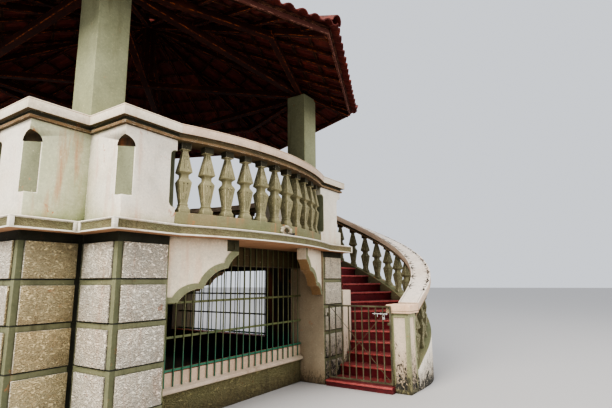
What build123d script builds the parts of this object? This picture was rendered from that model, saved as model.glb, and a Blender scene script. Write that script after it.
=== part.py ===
from build123d import *
import math
import os

# Masonry bandstand: a raised platform on four notched corner piers, with a room behind grilles below,
# solid parapets and curved balustrades above, four columns and an eight-sided tiled roof on timbers.
# A curved stair climbs round the front right pier, behind an iron gate.
# Frame: origin on the ground at the centre of the plan, X to the right, Y to the back, Z up, millimetres.

# Plan of the piers and bays
PIER_FACE = 2880.0  # centre of the plan to the outer face of a pier
NOTCH_FACE = 2250.0  # centre to the faces of the notch in a pier's outer corner
BAY_HALF = 1620.0  # half the clear width between two piers
BAY_RECESS = 480.0  # pier face back to the face of the bay wall
BAY_KINK = 1570.0  # half the chord of a curved balustrade
BAY_BULGE = 300.0  # rise of a curved balustrade beyond its chord

# Heights of the masonry
SOFFIT = 2170.0  # ground to the underside of the platform
SLAB = 120.0  # thickness of the platform
PARAPET = 1000.0  # platform to the top of the parapet wall
BED_MOULD = 32.0  # narrow lower member of the coping
COPING_GROOVE = 42.0  # shadow groove between the two members
COPING_FASCIA = 114.0  # wide upper member of the coping

# Platform edge
SLAB_REACH = 156.0  # platform edge beyond the pier face
SLAB_FILLET = 15.0  # height of the fillets along the top and bottom of the edge
SLAB_SINK = 14.0  # how far the strip between the fillets stands back

# Parapet and coping
WALL = 200.0  # thickness of the parapet walls
COPING_REACH = 69.0  # coping beyond the wall face
BED_REACH = 34.0  # bed mould beyond the wall face
GROOVE_REACH = 16.0  # bottom of the shadow groove beyond the wall face
CHAMFER_WIDTH = 178.0  # face of the stopped chamfer on a parapet corner
CHAMFER_BOTTOM = 256.0  # platform to the foot of the chamfer
CHAMFER_HEIGHT = 526.0  # foot to the shoulders of the chamfer
CHAMFER_POINT = 86.0  # shoulders to the point of the chamfer
NICHE_DEPTH = 85.0  # how far the end of a parapet is hollowed
NICHE_BOTTOM = 214.0  # platform to the foot of the hollow
NICHE_HEIGHT = 653.0
NICHE_RADIUS = 60.0

# Raised blocks on the piers
BLOCK_COURSES = 5
BLOCK_TOP = 2070.0  # ground to the top of the highest course
BLOCK_HEIGHT = 360.0
BLOCK_JOINT = 67.5
BLOCK_PROUD = 24.0
BLOCK_MARGIN = 59.0  # corner of the pier to the edge of a block
BLOCK_END_MARGIN = 37.0  # bay end of a pier to the edge of a block

# Bay walls and grilles
BAY_WALL = 200.0
PLINTH = 350.0  # ground to the sill moulding
SILL = 90.0
SILL_REACH = 62.0
SILL_SLOPE = 26.0  # fall of the sill's top
OPENING_FOOT = 600.0  # ground to the opening
LINTEL_FOOT = 1890.0  # ground to the lintel
BAR = 17.0  # across the flats of a grille bar
BAR_PITCH = 138.0
BAR_COUNT = 23
RAIL_HEIGHTS = (625.0, 1007.0, 1417.0)  # ground to the middle of each flat rail
RAIL_WIDTH = 30.0
RAIL_THICK = 7.0
FLOOR = 100.0  # thickness of the ground floor

# Brackets under the platform edge
BRACKET_LENGTH = 870.0
BRACKET_DEPTH = 730.0
BRACKET_THICK = 170.0
BRACKET_HEEL = 120.0  # flat bottom beside the pier
BRACKET_BORDER = 62.0
BRACKET_RELIEF = 14.0

# Balustrades
CURB = 160.0
BALUSTER_COUNT = 11
BALUSTER_PITCH = 4.0  # degrees between balusters, seen from the centre of the bay's curve
BALUSTER_FOOT = 66.0  # half widths of a baluster, from its foot to its cap
BALUSTER_ANKLE = 43.0
BALUSTER_VASE = 76.0
BALUSTER_NECK = 51.0
BALUSTER_FLARE = 78.0
BALUSTER_THROAT = 29.0
BALUSTER_CAP = 60.0
BALUSTER_SPARE = 45.0  # length left at each end of a stair baluster for the slope

# Columns
COLUMN = 405.0
COLUMN_CORNER = 2319.0  # centre of the plan to the outer faces of a column
COLUMN_TOP = 5300.0

# Roof
ROOF_SIDES = 8
BEAM_WIDTH = 120.0
BEAM_HEIGHT = 110.0
TIE_WIDTH = 110.0
PURLIN_WIDTH = 100.0
KING_APOTHEM = 120.0
HIP_WIDTH = 80.0
HIP_DEPTH = 120.0
HIP_RISE = 0.383  # rise of a hip for each unit of run
ROOF_SEAT = 193.0  # column's top to the roof's surface over it
EAVE_RADIUS = 4020.0  # centre to a corner of the eave fascia
FASCIA_THICK = 32.0
FASCIA_HEIGHT = 75.0
RAFTER_WIDTH = 50.0
RAFTER_DEPTH = 70.0
RAFTER_PITCH = 440.0
RAFTER_LEAST = 150.0  # shortest run of a rafter beside a hip
TILE_BED = 62.0  # battens and lower tiles together, measured upright
TILE_RIB = 56.0  # rise of the cover tiles above them
TILE_PITCH = 205.0  # between two rows of cover tiles
TILE_RIB_FOOT = 150.0
TILE_RIB_CROWN = 70.0
TILE_OVERHANG = 130.0  # tiles beyond the fascia, along a hip
HIP_TILE_RADIUS = 110.0
HIP_TILE_THICK = 18.0
HIP_TILE_SIDES = 12
HIP_TILE_SINK = 20.0
HIP_DROP = 7.0  # hips below the plane of the rafters
CROWN_SEAT = 150.0  # centre of the roof to the first tile
CROWN_RADIUS = 250.0
CROWN_HEIGHT = 150.0
CROWN_TAPER = 50.0  # degrees from upright
CROWN_SINK = 60.0  # crown below the tops of the hip tiles
CROWN_PLUG = 12.0  # crown's stem inside the first tiles

# Stair
STAIR_CENTRE = (2400.0, -2400.0)
STAIR_INNER = 520.0
STAIR_OUTER = 1670.0
STAIR_WALL = 260.0
FIRST_RISER = 100.0
RISERS = 14
STEP_LEAD = 40.0  # gate back to the front of the first step
FIRST_TREAD = 480.0
STRAIGHT_GOING = 280.0
STEP_TURN = 10.7  # degrees that each curved step takes
NOSING = 22.0
NOSING_THICK = 34.0
RAIL_OVER_CURB = 980.0
RAIL_AT_NEWEL = 1300.0
RAIL_AT_TURN = 1500.0
RAIL_RISE = 870.0  # rise of the rail over one radian of the turn
CORE_HEIGHT = 1500.0
CORE_CLEAR = 10.0  # core to the inner edge of the steps
STAIR_FACET = 5.35  # degrees of turn in one straight length of the rail
LANDING_LAP = 20.0  # how far the landing laps down the back of the last step
STAIR_BALUSTER_TURN = 9.4  # degrees between the stair's balusters
STAIR_BALUSTER_SHARE = 0.62  # place of the lowest one, from the newel to the start of the turn

# Newel
NEWEL = 300.0
NEWEL_LAP = 50.0  # newel's inner face inside that of the stair's wall
NEWEL_HEIGHT = 1170.0
NEWEL_CAP = 130.0
NEWEL_CAP_REACH = 42.0
NEWEL_PANEL = 15.0  # depth of the sunk panels
NEWEL_FRAME = 62.0  # frame round a sunk panel

# Gate
GATE_EDGE = 20.0  # corner of the pier to the hinge pins
GATE_CLEAR = 13.0  # gate to the newel's cap
GATE_LAP = 35.0  # middle of the last stile past the newel's inner face
GATE_FOOT = 125.0
GATE_TOP = 1280.0
GATE_BAR = 16.0
GATE_BARS = 10
GATE_STILE = 22.0
GATE_THICK = 18.0
GATE_PIN_RADIUS = 7.0
GATE_PIN_CLEAR = 0.6
GATE_STAND = 62.0  # pier face to the hinge pins
GATE_EYE_RADIUS = 13.0
GATE_EYE_HEIGHT = 40.0
GATE_SET = 32.0  # hinge pin to the hinge stile
GATE_RAIL = 26.0
GATE_ROD = 7.0
GATE_STRAP = 8.0
GATE_HINGES = (250.0, 1120.0)
GATE_BOLT = 1010.0
GATE_PLATE_PROUD = 8.0
GATE_PLATE_REACH = 30.0
GATE_PIN_STAND = 12.0  # pin above its eye
GATE_ARM = 12.0

# Landing post
POST = 360.0
POST_TURN = 159.2  # angle from the start of the turn to the post
POST_RISE = 30.0  # post's cap above the coping
POST_LAP = 2.0  # degrees from the end of the wall and rail to the middle of the post

# Fits
JOINT = 0.3  # gap between like pieces that are set side by side
SEAT = 0.3  # gap between a curved piece and its seat

PLATFORM = SOFFIT + SLAB
WALL_TOP = PLATFORM + PARAPET
COPING_TOP = WALL_TOP + BED_MOULD + COPING_GROOVE + COPING_FASCIA
BAY_RADIUS = (BAY_KINK**2 + BAY_BULGE**2) / (2 * BAY_BULGE)
BAY_CENTRE_Y = BAY_RADIUS - BAY_BULGE - PIER_FACE
RISER = (PLATFORM - FIRST_RISER) / (RISERS - 1)
COLUMN_CENTRE = COLUMN_CORNER - COLUMN / 2
COLUMN_RADIUS = COLUMN_CENTRE * math.sqrt(2)
TILE_LAYER = TILE_BED + TILE_RIB
GATE_X = BAY_HALF + GATE_EDGE
GATE_HINGE_Y = PIER_FACE + GATE_STAND
STEP_FRONT = GATE_X - STEP_LEAD
NEWEL_FACE = GATE_X + (GATE_STILE + GATE_PLATE_PROUD) / 2 + GATE_CLEAR + NEWEL_CAP_REACH
NEWEL_INNER = STAIR_OUTER - STAIR_CENTRE[1] - NEWEL_LAP
CORNERS = ("front_left", "front_right", "back_right", "back_left")
SIDES = ("front", "right", "back", "left")
FAR = 20000.0  # longer than anything in the model

os.makedirs("parts", exist_ok=True)


def save(name, *solids):
    """One node: its solids don't touch one another."""
    bodies = [solid for shape in solids for solid in shape.solids()]
    export_step(bodies[0] if len(bodies) == 1 else Compound(children=bodies), f"parts/{name}.step")


def quarter(shape, turns):
    """A shape of the front or front left, turned to another side."""
    return Rot(0, 0, 90 * turns) * shape


def block(low, high):
    """A box from its lowest to its highest corner."""
    size = [b - a for a, b in zip(low, high)]
    middle = [(a + b) / 2 for a, b in zip(low, high)]
    return Pos(*middle) * Box(*size)


def prism(points, foot, top):
    """An upright prism on a plan of straight lines."""
    return Pos(0, 0, foot) * extrude(make_face(Polyline(*points, close=True)), top - foot)


def plan(offset):
    """Plan of the piers and curved bays, set out by an offset from the wall faces."""
    outer, inner = 2 * (PIER_FACE + offset), 2 * (NOTCH_FACE + offset)
    shape = Rectangle(outer, inner) + Rectangle(inner, outer)
    bay = Pos(0, BAY_CENTRE_Y) * Circle(BAY_RADIUS + offset)
    window = Pos(0, -PIER_FACE) * Rectangle(inner, PIER_FACE)
    for turns in range(4):
        shape += quarter(bay & window, turns)
    return shape


def band(outside, inside, foot, top):
    """A band that follows the plan all round, between two offsets."""
    return Pos(0, 0, foot) * extrude(plan(outside) - plan(inside), top - foot)


def corner_zone():
    """The space that holds a front left corner, up to the ends of the curved bays."""
    return block((-FAR, -FAR, -FAR), (-BAY_KINK, -BAY_KINK, FAR))


def bay_zone(left=-BAY_KINK, right=BAY_KINK):
    """The space that holds the front bay."""
    return block((left + JOINT, -FAR, -FAR), (right - JOINT, -BAY_KINK, FAR))


def pier_core():
    """A notched pier, with a square recess in its outer corner."""
    core = block((-PIER_FACE, -PIER_FACE, 0), (-BAY_HALF, -BAY_HALF, SOFFIT))
    return core - block((-FAR, -FAR, -1), (-NOTCH_FACE, -NOTCH_FACE, FAR))


def pier_blocks():
    """The raised blocks of a pier's four outer faces, course by course."""
    blocks = []
    for course in range(BLOCK_COURSES):
        top = BLOCK_TOP - course * (BLOCK_HEIGHT + BLOCK_JOINT)
        foot = max(top - BLOCK_HEIGHT, 0.0)
        broad = (-NOTCH_FACE + BLOCK_MARGIN, -BAY_HALF - BLOCK_END_MARGIN)
        short = (-PIER_FACE + BLOCK_MARGIN, -NOTCH_FACE - BLOCK_MARGIN)
        for face, span in ((-PIER_FACE, broad), (-NOTCH_FACE, short)):
            front = block((span[0], face - BLOCK_PROUD, foot), (span[1], face, top))
            blocks += [front, mirror(front, about=Plane((0, 0, 0), z_dir=(1, -1, 0)))]
    return blocks


def bay_wall():
    """The low wall with its sill moulding, and the lintel over the opening."""
    face = -PIER_FACE + BAY_RECESS
    back = face + BAY_WALL
    sill_top = PLINTH + SILL
    profile = [
        (back, 0),
        (face, 0),
        (face, PLINTH),
        (face - SILL_REACH, PLINTH + SILL / 4),
        (face - SILL_REACH, sill_top - SILL_SLOPE),
        (face, sill_top),
        (face, OPENING_FOOT),
        (back, OPENING_FOOT),
    ]
    outline = Plane.YZ * make_face(Polyline(*profile, close=True))
    low = extrude(outline, BAY_HALF, both=True)
    lintel = block((-BAY_HALF, face, LINTEL_FOOT), (BAY_HALF, back, SOFFIT))
    return [low, lintel]


def grille():
    """Upright bars from the sill to the platform, with three flat rails along their backs."""
    bar_y = -PIER_FACE + BAY_RECESS - BAR
    foot = PLINTH + SILL + SEAT
    bar = extrude(RegularPolygon(BAR / 2, 6, major_radius=False), SOFFIT - foot)
    pieces = []
    for index in range(BAR_COUNT):
        x = (index - (BAR_COUNT - 1) / 2) * BAR_PITCH
        pieces.append(Pos(x, bar_y, foot) * bar)
    for height in RAIL_HEIGHTS:
        rail = Box(2 * BAY_HALF, RAIL_THICK, RAIL_WIDTH)
        pieces.append(Pos(0, bar_y + (BAR + RAIL_THICK) / 2 + JOINT, height) * rail)
    return pieces


def bracket_outline():
    """Elevation of the left bracket: a flat heel and three hollow curves that climb to the tip."""
    foot = SOFFIT - BRACKET_DEPTH
    start = -BAY_HALF

    def at(run, rise):
        return (start + run * BRACKET_LENGTH, foot + rise * BRACKET_DEPTH)

    lines = [
        Line(at(0, 1), at(0, 0)),
        Line(at(0, 0), (start + BRACKET_HEEL, foot)),
        ThreePointArc((start + BRACKET_HEEL, foot), at(0.245, 0.14), at(0.46, 0.205)),
        Line(at(0.46, 0.205), at(0.475, 0.23)),
        ThreePointArc(at(0.475, 0.23), at(0.61, 0.43), at(0.83, 0.53)),
        Line(at(0.83, 0.53), at(0.84, 0.56)),
        ThreePointArc(at(0.84, 0.56), at(0.90, 0.67), at(1, 0.76)),
        Line(at(1, 0.76), at(1, 1)),
        Line(at(1, 1), at(0, 1)),
    ]
    return make_face(lines)


def bracket():
    """A bracket that follows the bay's curve, with a raised border along its lower edge."""
    outline = bracket_outline()
    body = extrude(Plane.XZ * outline, FAR, both=True)
    inner = extrude(Plane.XZ * (Pos(-BRACKET_BORDER, BRACKET_BORDER) * outline), FAR, both=True)

    def shell(outside):
        ring = Circle(BAY_RADIUS + outside) - Circle(BAY_RADIUS - BRACKET_THICK)
        ring = Pos(0, BAY_CENTRE_Y) * ring
        near = block((-FAR, -FAR, 0), (0, 0, SOFFIT))
        return extrude(ring, SOFFIT) & near

    return (body & shell(-BRACKET_RELIEF)) + ((body - inner) & shell(0.0))


def platform():
    """The platform, with a strip sunk between two fillets along its edge."""
    low = extrude(plan(SLAB_REACH), SLAB_FILLET)
    strip = Pos(0, 0, SLAB_FILLET) * extrude(plan(SLAB_REACH - SLAB_SINK), SLAB - 2 * SLAB_FILLET)
    high = Pos(0, 0, SLAB - SLAB_FILLET) * extrude(plan(SLAB_REACH), SLAB_FILLET)
    return Pos(0, 0, SOFFIT) * (low + strip + high)


def chamfer_cut(x, y):
    """The stopped chamfer at a parapet corner: a pointed panel cut across the edge."""
    half = CHAMFER_WIDTH / 2
    foot = PLATFORM + CHAMFER_BOTTOM
    shoulder = foot + CHAMFER_HEIGHT
    points = [
        (-half, foot),
        (half, foot),
        (half, shoulder),
        (0, shoulder + CHAMFER_POINT),
        (-half, shoulder),
    ]
    outward = Vector(-1, -1, 0).normalized()
    start = Vector(x, y, 0) - outward * half
    face = Plane(origin=start, x_dir=(1, -1, 0), z_dir=outward) * make_face(Polyline(*points, close=True))
    return extrude(face, CHAMFER_WIDTH)


def parapet():
    """A solid parapet round a pier's notch, with chamfered corners and hollowed ends."""
    wall = band(0, -WALL, PLATFORM, WALL_TOP) & corner_zone()
    for x, y in ((-PIER_FACE, -NOTCH_FACE), (-NOTCH_FACE, -PIER_FACE)):
        wall -= chamfer_cut(x, y)
    niche = Box(2 * NICHE_DEPTH, 2 * WALL, NICHE_HEIGHT)
    niche = fillet(niche.edges().filter_by(Axis.Y), NICHE_RADIUS)
    middle = PLATFORM + NICHE_BOTTOM + NICHE_HEIGHT / 2
    front = Pos(-BAY_KINK, -PIER_FACE + WALL / 2, middle) * niche
    return wall - front - mirror(front, about=Plane((0, 0, 0), z_dir=(1, -1, 0)))


def coping():
    """The moulded coping, as one band all round."""
    groove = WALL_TOP + BED_MOULD
    fascia = groove + COPING_GROOVE
    bed = band(BED_REACH, -WALL - BED_REACH, WALL_TOP, groove)
    neck = band(GROOVE_REACH, -WALL - GROOVE_REACH, groove, fascia)
    top = band(COPING_REACH, -WALL - COPING_REACH, fascia, COPING_TOP)
    return bed + neck + top


def baluster(height):
    """A cast baluster of square section: a vase, a neck, and a shaft that narrows to its cap.

    One outline, seen from the front and from the side, bounds it.
    """
    sections = (
        (0.0, BALUSTER_FOOT),
        (0.03, BALUSTER_FOOT),
        (0.065, BALUSTER_ANKLE),
        (0.12, BALUSTER_ANKLE),
        (0.42, BALUSTER_VASE),
        (0.47, BALUSTER_NECK),
        (0.55, BALUSTER_NECK),
        (0.56, BALUSTER_FLARE),
        (0.58, BALUSTER_FLARE),
        (0.89, BALUSTER_THROAT),
        (0.905, BALUSTER_CAP),
        (1.0, BALUSTER_CAP),
    )
    right = [(half, share * height) for share, half in sections]
    left = [(-x, z) for x, z in reversed(right)]
    outline = Plane.XZ * make_face(Polyline(*right, *left, close=True))
    front = extrude(outline, BALUSTER_FLARE, both=True)
    return front & (Rot(0, 0, 90) * front)


def bay_places():
    """Places along a curved bay where balusters stand, as angle and point."""
    places = []
    radius = BAY_RADIUS - WALL / 2
    for index in range(BALUSTER_COUNT):
        angle = (index - (BALUSTER_COUNT - 1) / 2) * BALUSTER_PITCH
        turn = math.radians(angle)
        places.append((angle, radius * math.sin(turn), BAY_CENTRE_Y - radius * math.cos(turn)))
    return places


def step_top(number):
    """Height of a step's tread, counted from 1."""
    return FIRST_RISER + (number - 1) * RISER


def flight_plan():
    """Plan of the flight: a straight lane from the gate, then a ring round the pier's corner."""
    cx, cy = STAIR_CENTRE
    outer = STAIR_OUTER - SEAT
    lane = Pos((STEP_FRONT - NOSING + cx) / 2, cy - (STAIR_INNER + outer) / 2)
    lane = lane * Rectangle(cx - STEP_FRONT + NOSING, outer - STAIR_INNER)
    ring = Pos(cx, cy) * (Circle(outer) - Circle(STAIR_INNER))
    ahead = Pos(cx + FAR / 2, cy) * Rectangle(FAR, FAR)
    return lane + (ring & ahead)


def straight_fronts():
    """Fronts of the steps before the turn."""
    fronts = [STEP_FRONT, STEP_FRONT + FIRST_TREAD]
    while fronts[-1] + STRAIGHT_GOING < STAIR_CENTRE[0]:
        fronts.append(fronts[-1] + STRAIGHT_GOING)
    return fronts


def ahead_of(number, back=0.0):
    """The plan beyond the front of a step, less a distance back."""
    cx, cy = STAIR_CENTRE
    fronts = straight_fronts()
    if number <= len(fronts):
        return Pos(fronts[number - 1] - back + FAR / 2, cy) * Rectangle(FAR, FAR)
    angle = turn_of(number)
    return Pos(cx, cy) * Rot(0, 0, angle) * Pos(FAR / 2 - back, 0) * Rectangle(FAR, FAR)


def turn_of(number):
    """Angle from the start of the turn to the front of a step."""
    return (number - len(straight_fronts())) * STEP_TURN


def steps():
    """The steps, each a solid mass from the ground with a nosing over the step below."""
    x, y = NEWEL_FACE + NEWEL / 2, -NEWEL_INNER - NEWEL / 2
    foot = Pos(x, y) * Rectangle(NEWEL + 2 * SEAT, NEWEL + 2 * SEAT)
    flight = flight_plan() - plan(BLOCK_PROUD + SEAT) - foot
    solids = []
    for number in range(1, RISERS):
        top = step_top(number)
        mass = (flight & ahead_of(number)) - ahead_of(number + 1, JOINT)
        tread = (flight & ahead_of(number, NOSING)) - ahead_of(number + 1, JOINT)
        solids.append(extrude(mass, top) + Pos(0, 0, top - NOSING_THICK) * extrude(tread, NOSING_THICK))
    return solids


def landing():
    """The landing, level with the platform, from the last riser to the bay."""
    cx, cy = STAIR_CENTRE
    outer = STAIR_OUTER - SEAT
    room = (Pos(cx, cy) * Circle(outer)) - plan(SLAB_REACH + SEAT)
    room = room & (Pos(FAR / 2 + PIER_FACE, 0) * Rectangle(FAR, FAR))
    thick = RISER + LANDING_LAP
    slab = extrude(room & ahead_of(RISERS), thick)
    lip = Pos(0, 0, thick - NOSING_THICK) * extrude(room & ahead_of(RISERS, NOSING), NOSING_THICK)
    return Pos(0, 0, PLATFORM - thick) * (slab + lip)


def rail_top(angle):
    """Top of the stair's rail at an angle from the start of the turn, level past the last riser."""
    return RAIL_AT_TURN + RAIL_RISE * math.radians(min(angle, turn_of(RISERS)))


def stair_run(profile, last_angle):
    """A length that follows the stair: straight from the newel, then round the turn.

    The profile gives the section's corners, as distance from the stair's centre and height,
    for the rail's height at that place.
    """
    cx, cy = STAIR_CENTRE
    sections = []

    def section(x, direction, top):
        place = Plane(origin=(x, cy, 0), x_dir=direction, z_dir=(direction[1], -direction[0], 0))
        return place * make_face(Polyline(*profile(top), close=True))

    sections.append(section(NEWEL_FACE + NEWEL + SEAT, (0, -1, 0), RAIL_AT_NEWEL))
    count = math.ceil(last_angle / STAIR_FACET)
    for index in range(count + 1):
        angle = last_angle * index / count
        turn = math.radians(angle - 90)
        sections.append(section(cx, (math.cos(turn), math.sin(turn), 0), rail_top(angle)))
    return loft(sections, ruled=True)


def rail_profile(top):
    """Section of the moulded rail, like the coping's."""
    middle = STAIR_OUTER + STAIR_WALL / 2
    wide = WALL / 2 + COPING_REACH
    neck = WALL / 2 + GROOVE_REACH
    bed = WALL / 2 + BED_REACH
    fascia = top - COPING_FASCIA
    groove = fascia - COPING_GROOVE
    foot = groove - BED_MOULD
    left = [(-wide, top), (-wide, fascia), (-neck, fascia), (-neck, groove), (-bed, groove), (-bed, foot)]
    right = [(-x, z) for x, z in reversed(left)]
    return [(middle + x, z) for x, z in left + right]


def space_over_wall(top):
    """Section of the space over the outer wall, from the curb that carries the balusters."""
    foot = top - RAIL_OVER_CURB
    near, far = STAIR_OUTER - STAIR_WALL, STAIR_OUTER + 2 * STAIR_WALL
    return [(near, foot), (far, foot), (far, FAR), (near, FAR)]


def stair_wall():
    """The outer wall, from the ground up to a curb that rises with the steps."""
    cx, cy = STAIR_CENTRE
    ring = Pos(cx, cy) * (Circle(STAIR_OUTER + STAIR_WALL) - Circle(STAIR_OUTER))
    beyond = Pos(cx, cy) * Rot(0, 0, POST_TURN - POST_LAP) * Pos(FAR / 2, 0) * Rectangle(FAR, FAR)
    ring = (ring & (Pos(cx + FAR / 2, cy) * Rectangle(FAR, FAR))) - beyond
    start = NEWEL_FACE + NEWEL + SEAT
    lane = Pos((start + cx) / 2, cy - STAIR_OUTER - STAIR_WALL / 2) * Rectangle(cx - start, STAIR_WALL)
    wall = extrude(ring + lane, PLATFORM + CURB)
    return wall - stair_run(space_over_wall, POST_TURN)


def post_place():
    """Where the stair's rail meets the balustrade of the right bay, as angle, x and y."""
    cx, cy = STAIR_CENTRE
    middle = STAIR_OUTER + STAIR_WALL / 2
    angle = POST_TURN - 90
    turn = math.radians(angle)
    return angle, cx + middle * math.cos(turn), cy + middle * math.sin(turn)


def post_box(clear=0.0):
    """The upright space of the landing's post."""
    angle, x, y = post_place()
    side = POST + 2 * clear
    return Pos(x, y, PLATFORM) * Rot(0, 0, angle) * extrude(Rectangle(side, side), FAR)


def landing_post():
    """The post on the platform where the two rails meet, with a moulded cap."""
    angle, x, y = post_place()
    groove = WALL_TOP + BED_MOULD
    fascia = groove + COPING_GROOVE
    post = extrude(Rectangle(POST, POST), fascia - PLATFORM)
    wide = POST + 2 * NEWEL_CAP_REACH
    cap = Pos(0, 0, fascia - PLATFORM) * extrude(Rectangle(wide, wide), COPING_FASCIA + POST_RISE)
    return Pos(x, y, PLATFORM) * Rot(0, 0, angle) * (post + cap)


def stair_core():
    """The low round core in the pier's notch, inside the steps."""
    cx, cy = STAIR_CENTRE
    disc = Pos(cx, cy) * Circle(STAIR_INNER - CORE_CLEAR)
    corner = NOTCH_FACE + BLOCK_PROUD + SEAT
    notch = Pos(corner + FAR / 2, -corner - FAR / 2) * Rectangle(FAR, FAR)
    return extrude(disc & notch, CORE_HEIGHT)


def stair_balusters(rail, wall):
    """The balusters of the stair, trimmed to the slope of the wall and of the rail."""
    cx, cy = STAIR_CENTRE
    middle = STAIR_OUTER + STAIR_WALL / 2
    under = COPING_FASCIA + COPING_GROOVE + BED_MOULD
    height = RAIL_OVER_CURB - under
    shape = baluster(height)
    foot = extrude(Rectangle(2 * BALUSTER_FOOT, 2 * BALUSTER_FOOT), BALUSTER_SPARE)
    head = extrude(Rectangle(2 * BALUSTER_CAP, 2 * BALUSTER_CAP), BALUSTER_SPARE)
    tall = Pos(0, 0, -BALUSTER_SPARE) * foot + shape + Pos(0, 0, height) * head
    pieces = []
    start_x = NEWEL_FACE + NEWEL
    run = cx - start_x
    share = STAIR_BALUSTER_SHARE
    top = RAIL_AT_NEWEL + (RAIL_AT_TURN - RAIL_AT_NEWEL) * share
    pieces.append(Pos(start_x + run * share, cy - middle, top - RAIL_OVER_CURB) * tall)
    angle = STAIR_BALUSTER_TURN / 2
    while angle < POST_TURN - STAIR_BALUSTER_TURN:
        turn = math.radians(angle - 90)
        x, y = cx + middle * math.cos(turn), cy + middle * math.sin(turn)
        pieces.append(Pos(x, y, rail_top(angle) - RAIL_OVER_CURB) * Rot(0, 0, angle) * tall)
        angle += STAIR_BALUSTER_TURN
    return [piece - rail - wall for piece in pieces]


def newel():
    """The square pier at the foot of the stair, with sunk panels, a necking and a cap."""
    x, y = NEWEL_FACE + NEWEL / 2, -NEWEL_INNER - NEWEL / 2
    post = extrude(Rectangle(NEWEL, NEWEL), NEWEL_HEIGHT)
    panel = Box(NEWEL, NEWEL - 2 * NEWEL_FRAME, NEWEL_HEIGHT - 2 * NEWEL_FRAME)
    middle = NEWEL_HEIGHT / 2
    for angle in (180, 270):
        sunk = Pos(NEWEL - NEWEL_PANEL, 0, middle) * panel
        post -= Rot(0, 0, angle) * sunk
    wide = NEWEL + 2 * NEWEL_CAP_REACH
    cap = Pos(0, 0, NEWEL_HEIGHT) * extrude(Rectangle(wide, wide), NEWEL_CAP)
    return Pos(x, y, 0) * (post + cap)


def gate_x_of(index):
    """Distance of a gate bar from the hinge, for bars counted from the hinge stile."""
    last = NEWEL_INNER + GATE_LAP - GATE_HINGE_Y - GATE_SET
    return GATE_SET + last * index / (GATE_BARS - 1)


def gate_leaf():
    """The gate's leaf: stiles and bars between two rails, two crossing rods, eyes and a bolt."""
    top, foot = GATE_TOP, GATE_FOOT
    first, last = gate_x_of(0), gate_x_of(GATE_BARS - 1)
    pieces = []
    for index in range(GATE_BARS):
        size = GATE_STILE if index in (0, GATE_BARS - 1) else GATE_BAR
        bar = Box(size, size, top - foot)
        pieces.append(Pos(0, -gate_x_of(index), (top + foot) / 2) * bar)
    for height in (top - GATE_RAIL / 2, foot + GATE_RAIL / 2):
        pieces.append(Pos(0, -(first + last) / 2, height) * Box(GATE_THICK, last - first, GATE_RAIL))
    rise, run = top - foot - GATE_RAIL, last - first
    tilt = math.degrees(math.atan2(rise, run))
    length = math.hypot(rise, run)
    for sign in (1, -1):
        rod = Rot(sign * tilt, 0, 0) * Box(GATE_ROD, length, GATE_ROD)
        side = sign * (GATE_BAR - GATE_ROD) / 2
        pieces.append(Pos(side, -(first + last) / 2, (top + foot) / 2) * rod)
    outer = GATE_EYE_RADIUS
    bore = GATE_PIN_RADIUS + GATE_PIN_CLEAR
    for height in GATE_HINGES:
        strap = Pos(0, -first / 2, height) * Box(GATE_STRAP, first, GATE_EYE_HEIGHT)
        eye = Pos(0, 0, height) * Cylinder(outer, GATE_EYE_HEIGHT)
        hole = Pos(0, 0, height) * Cylinder(bore, 2 * GATE_EYE_HEIGHT)
        pieces.append(strap + eye - hole)
    plate = Box(GATE_STILE + GATE_PLATE_PROUD, GATE_STILE + GATE_PLATE_REACH, GATE_EYE_HEIGHT)
    pieces.append(Pos(0, -last + GATE_PLATE_REACH / 2, GATE_BOLT) * plate)
    leaf = pieces[0] + pieces[1:]
    pivots = [Pos(0, 0, height) * Cylinder(bore, 2 * GATE_EYE_HEIGHT) for height in GATE_HINGES]
    return Pos(GATE_X, -GATE_HINGE_Y, 0) * (leaf - pivots)


def gate_hinges():
    """Two pins let into the pier, each on a bent arm, that carry the gate's eyes."""
    pins = []
    for height in GATE_HINGES:
        foot = height - GATE_EYE_HEIGHT / 2 - SEAT
        tall = GATE_EYE_HEIGHT + GATE_PIN_STAND
        pin = Pos(0, 0, foot + tall / 2) * Cylinder(GATE_PIN_RADIUS, tall)
        reach = GATE_HINGE_Y - PIER_FACE
        arm = Box(2 * GATE_PIN_RADIUS, reach + GATE_PIN_RADIUS, GATE_ARM)
        arm = Pos(0, (reach - GATE_PIN_RADIUS) / 2, foot - GATE_ARM / 2) * arm
        pins.append(Pos(GATE_X, -GATE_HINGE_Y, 0) * (pin + arm))
    return pins


def octagon(radius):
    """An eight-sided plan with corners over the columns and over the middle of each bay."""
    return RegularPolygon(radius, ROOF_SIDES, rotation=0)


def roof_top(run):
    """Height of the rafters' top along a hip, at a distance from the centre."""
    return COLUMN_TOP + ROOF_SEAT + HIP_RISE * (COLUMN_RADIUS - run)


def hip():
    """A hip rafter on the X axis, from the king post to the fascia."""
    half = math.radians(180 / ROOF_SIDES)
    start = KING_APOTHEM
    end = EAVE_RADIUS - (FASCIA_THICK + HIP_WIDTH / 2 * math.sin(half)) / math.cos(half)
    points = []
    for run, drop in ((start, 0), (end, 0), (end, HIP_DEPTH), (start, HIP_DEPTH)):
        points.append((run, roof_top(run) - HIP_DROP - drop))
    return extrude(Plane.XZ * make_face(Polyline(*points, close=True)), HIP_WIDTH / 2, both=True)


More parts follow.
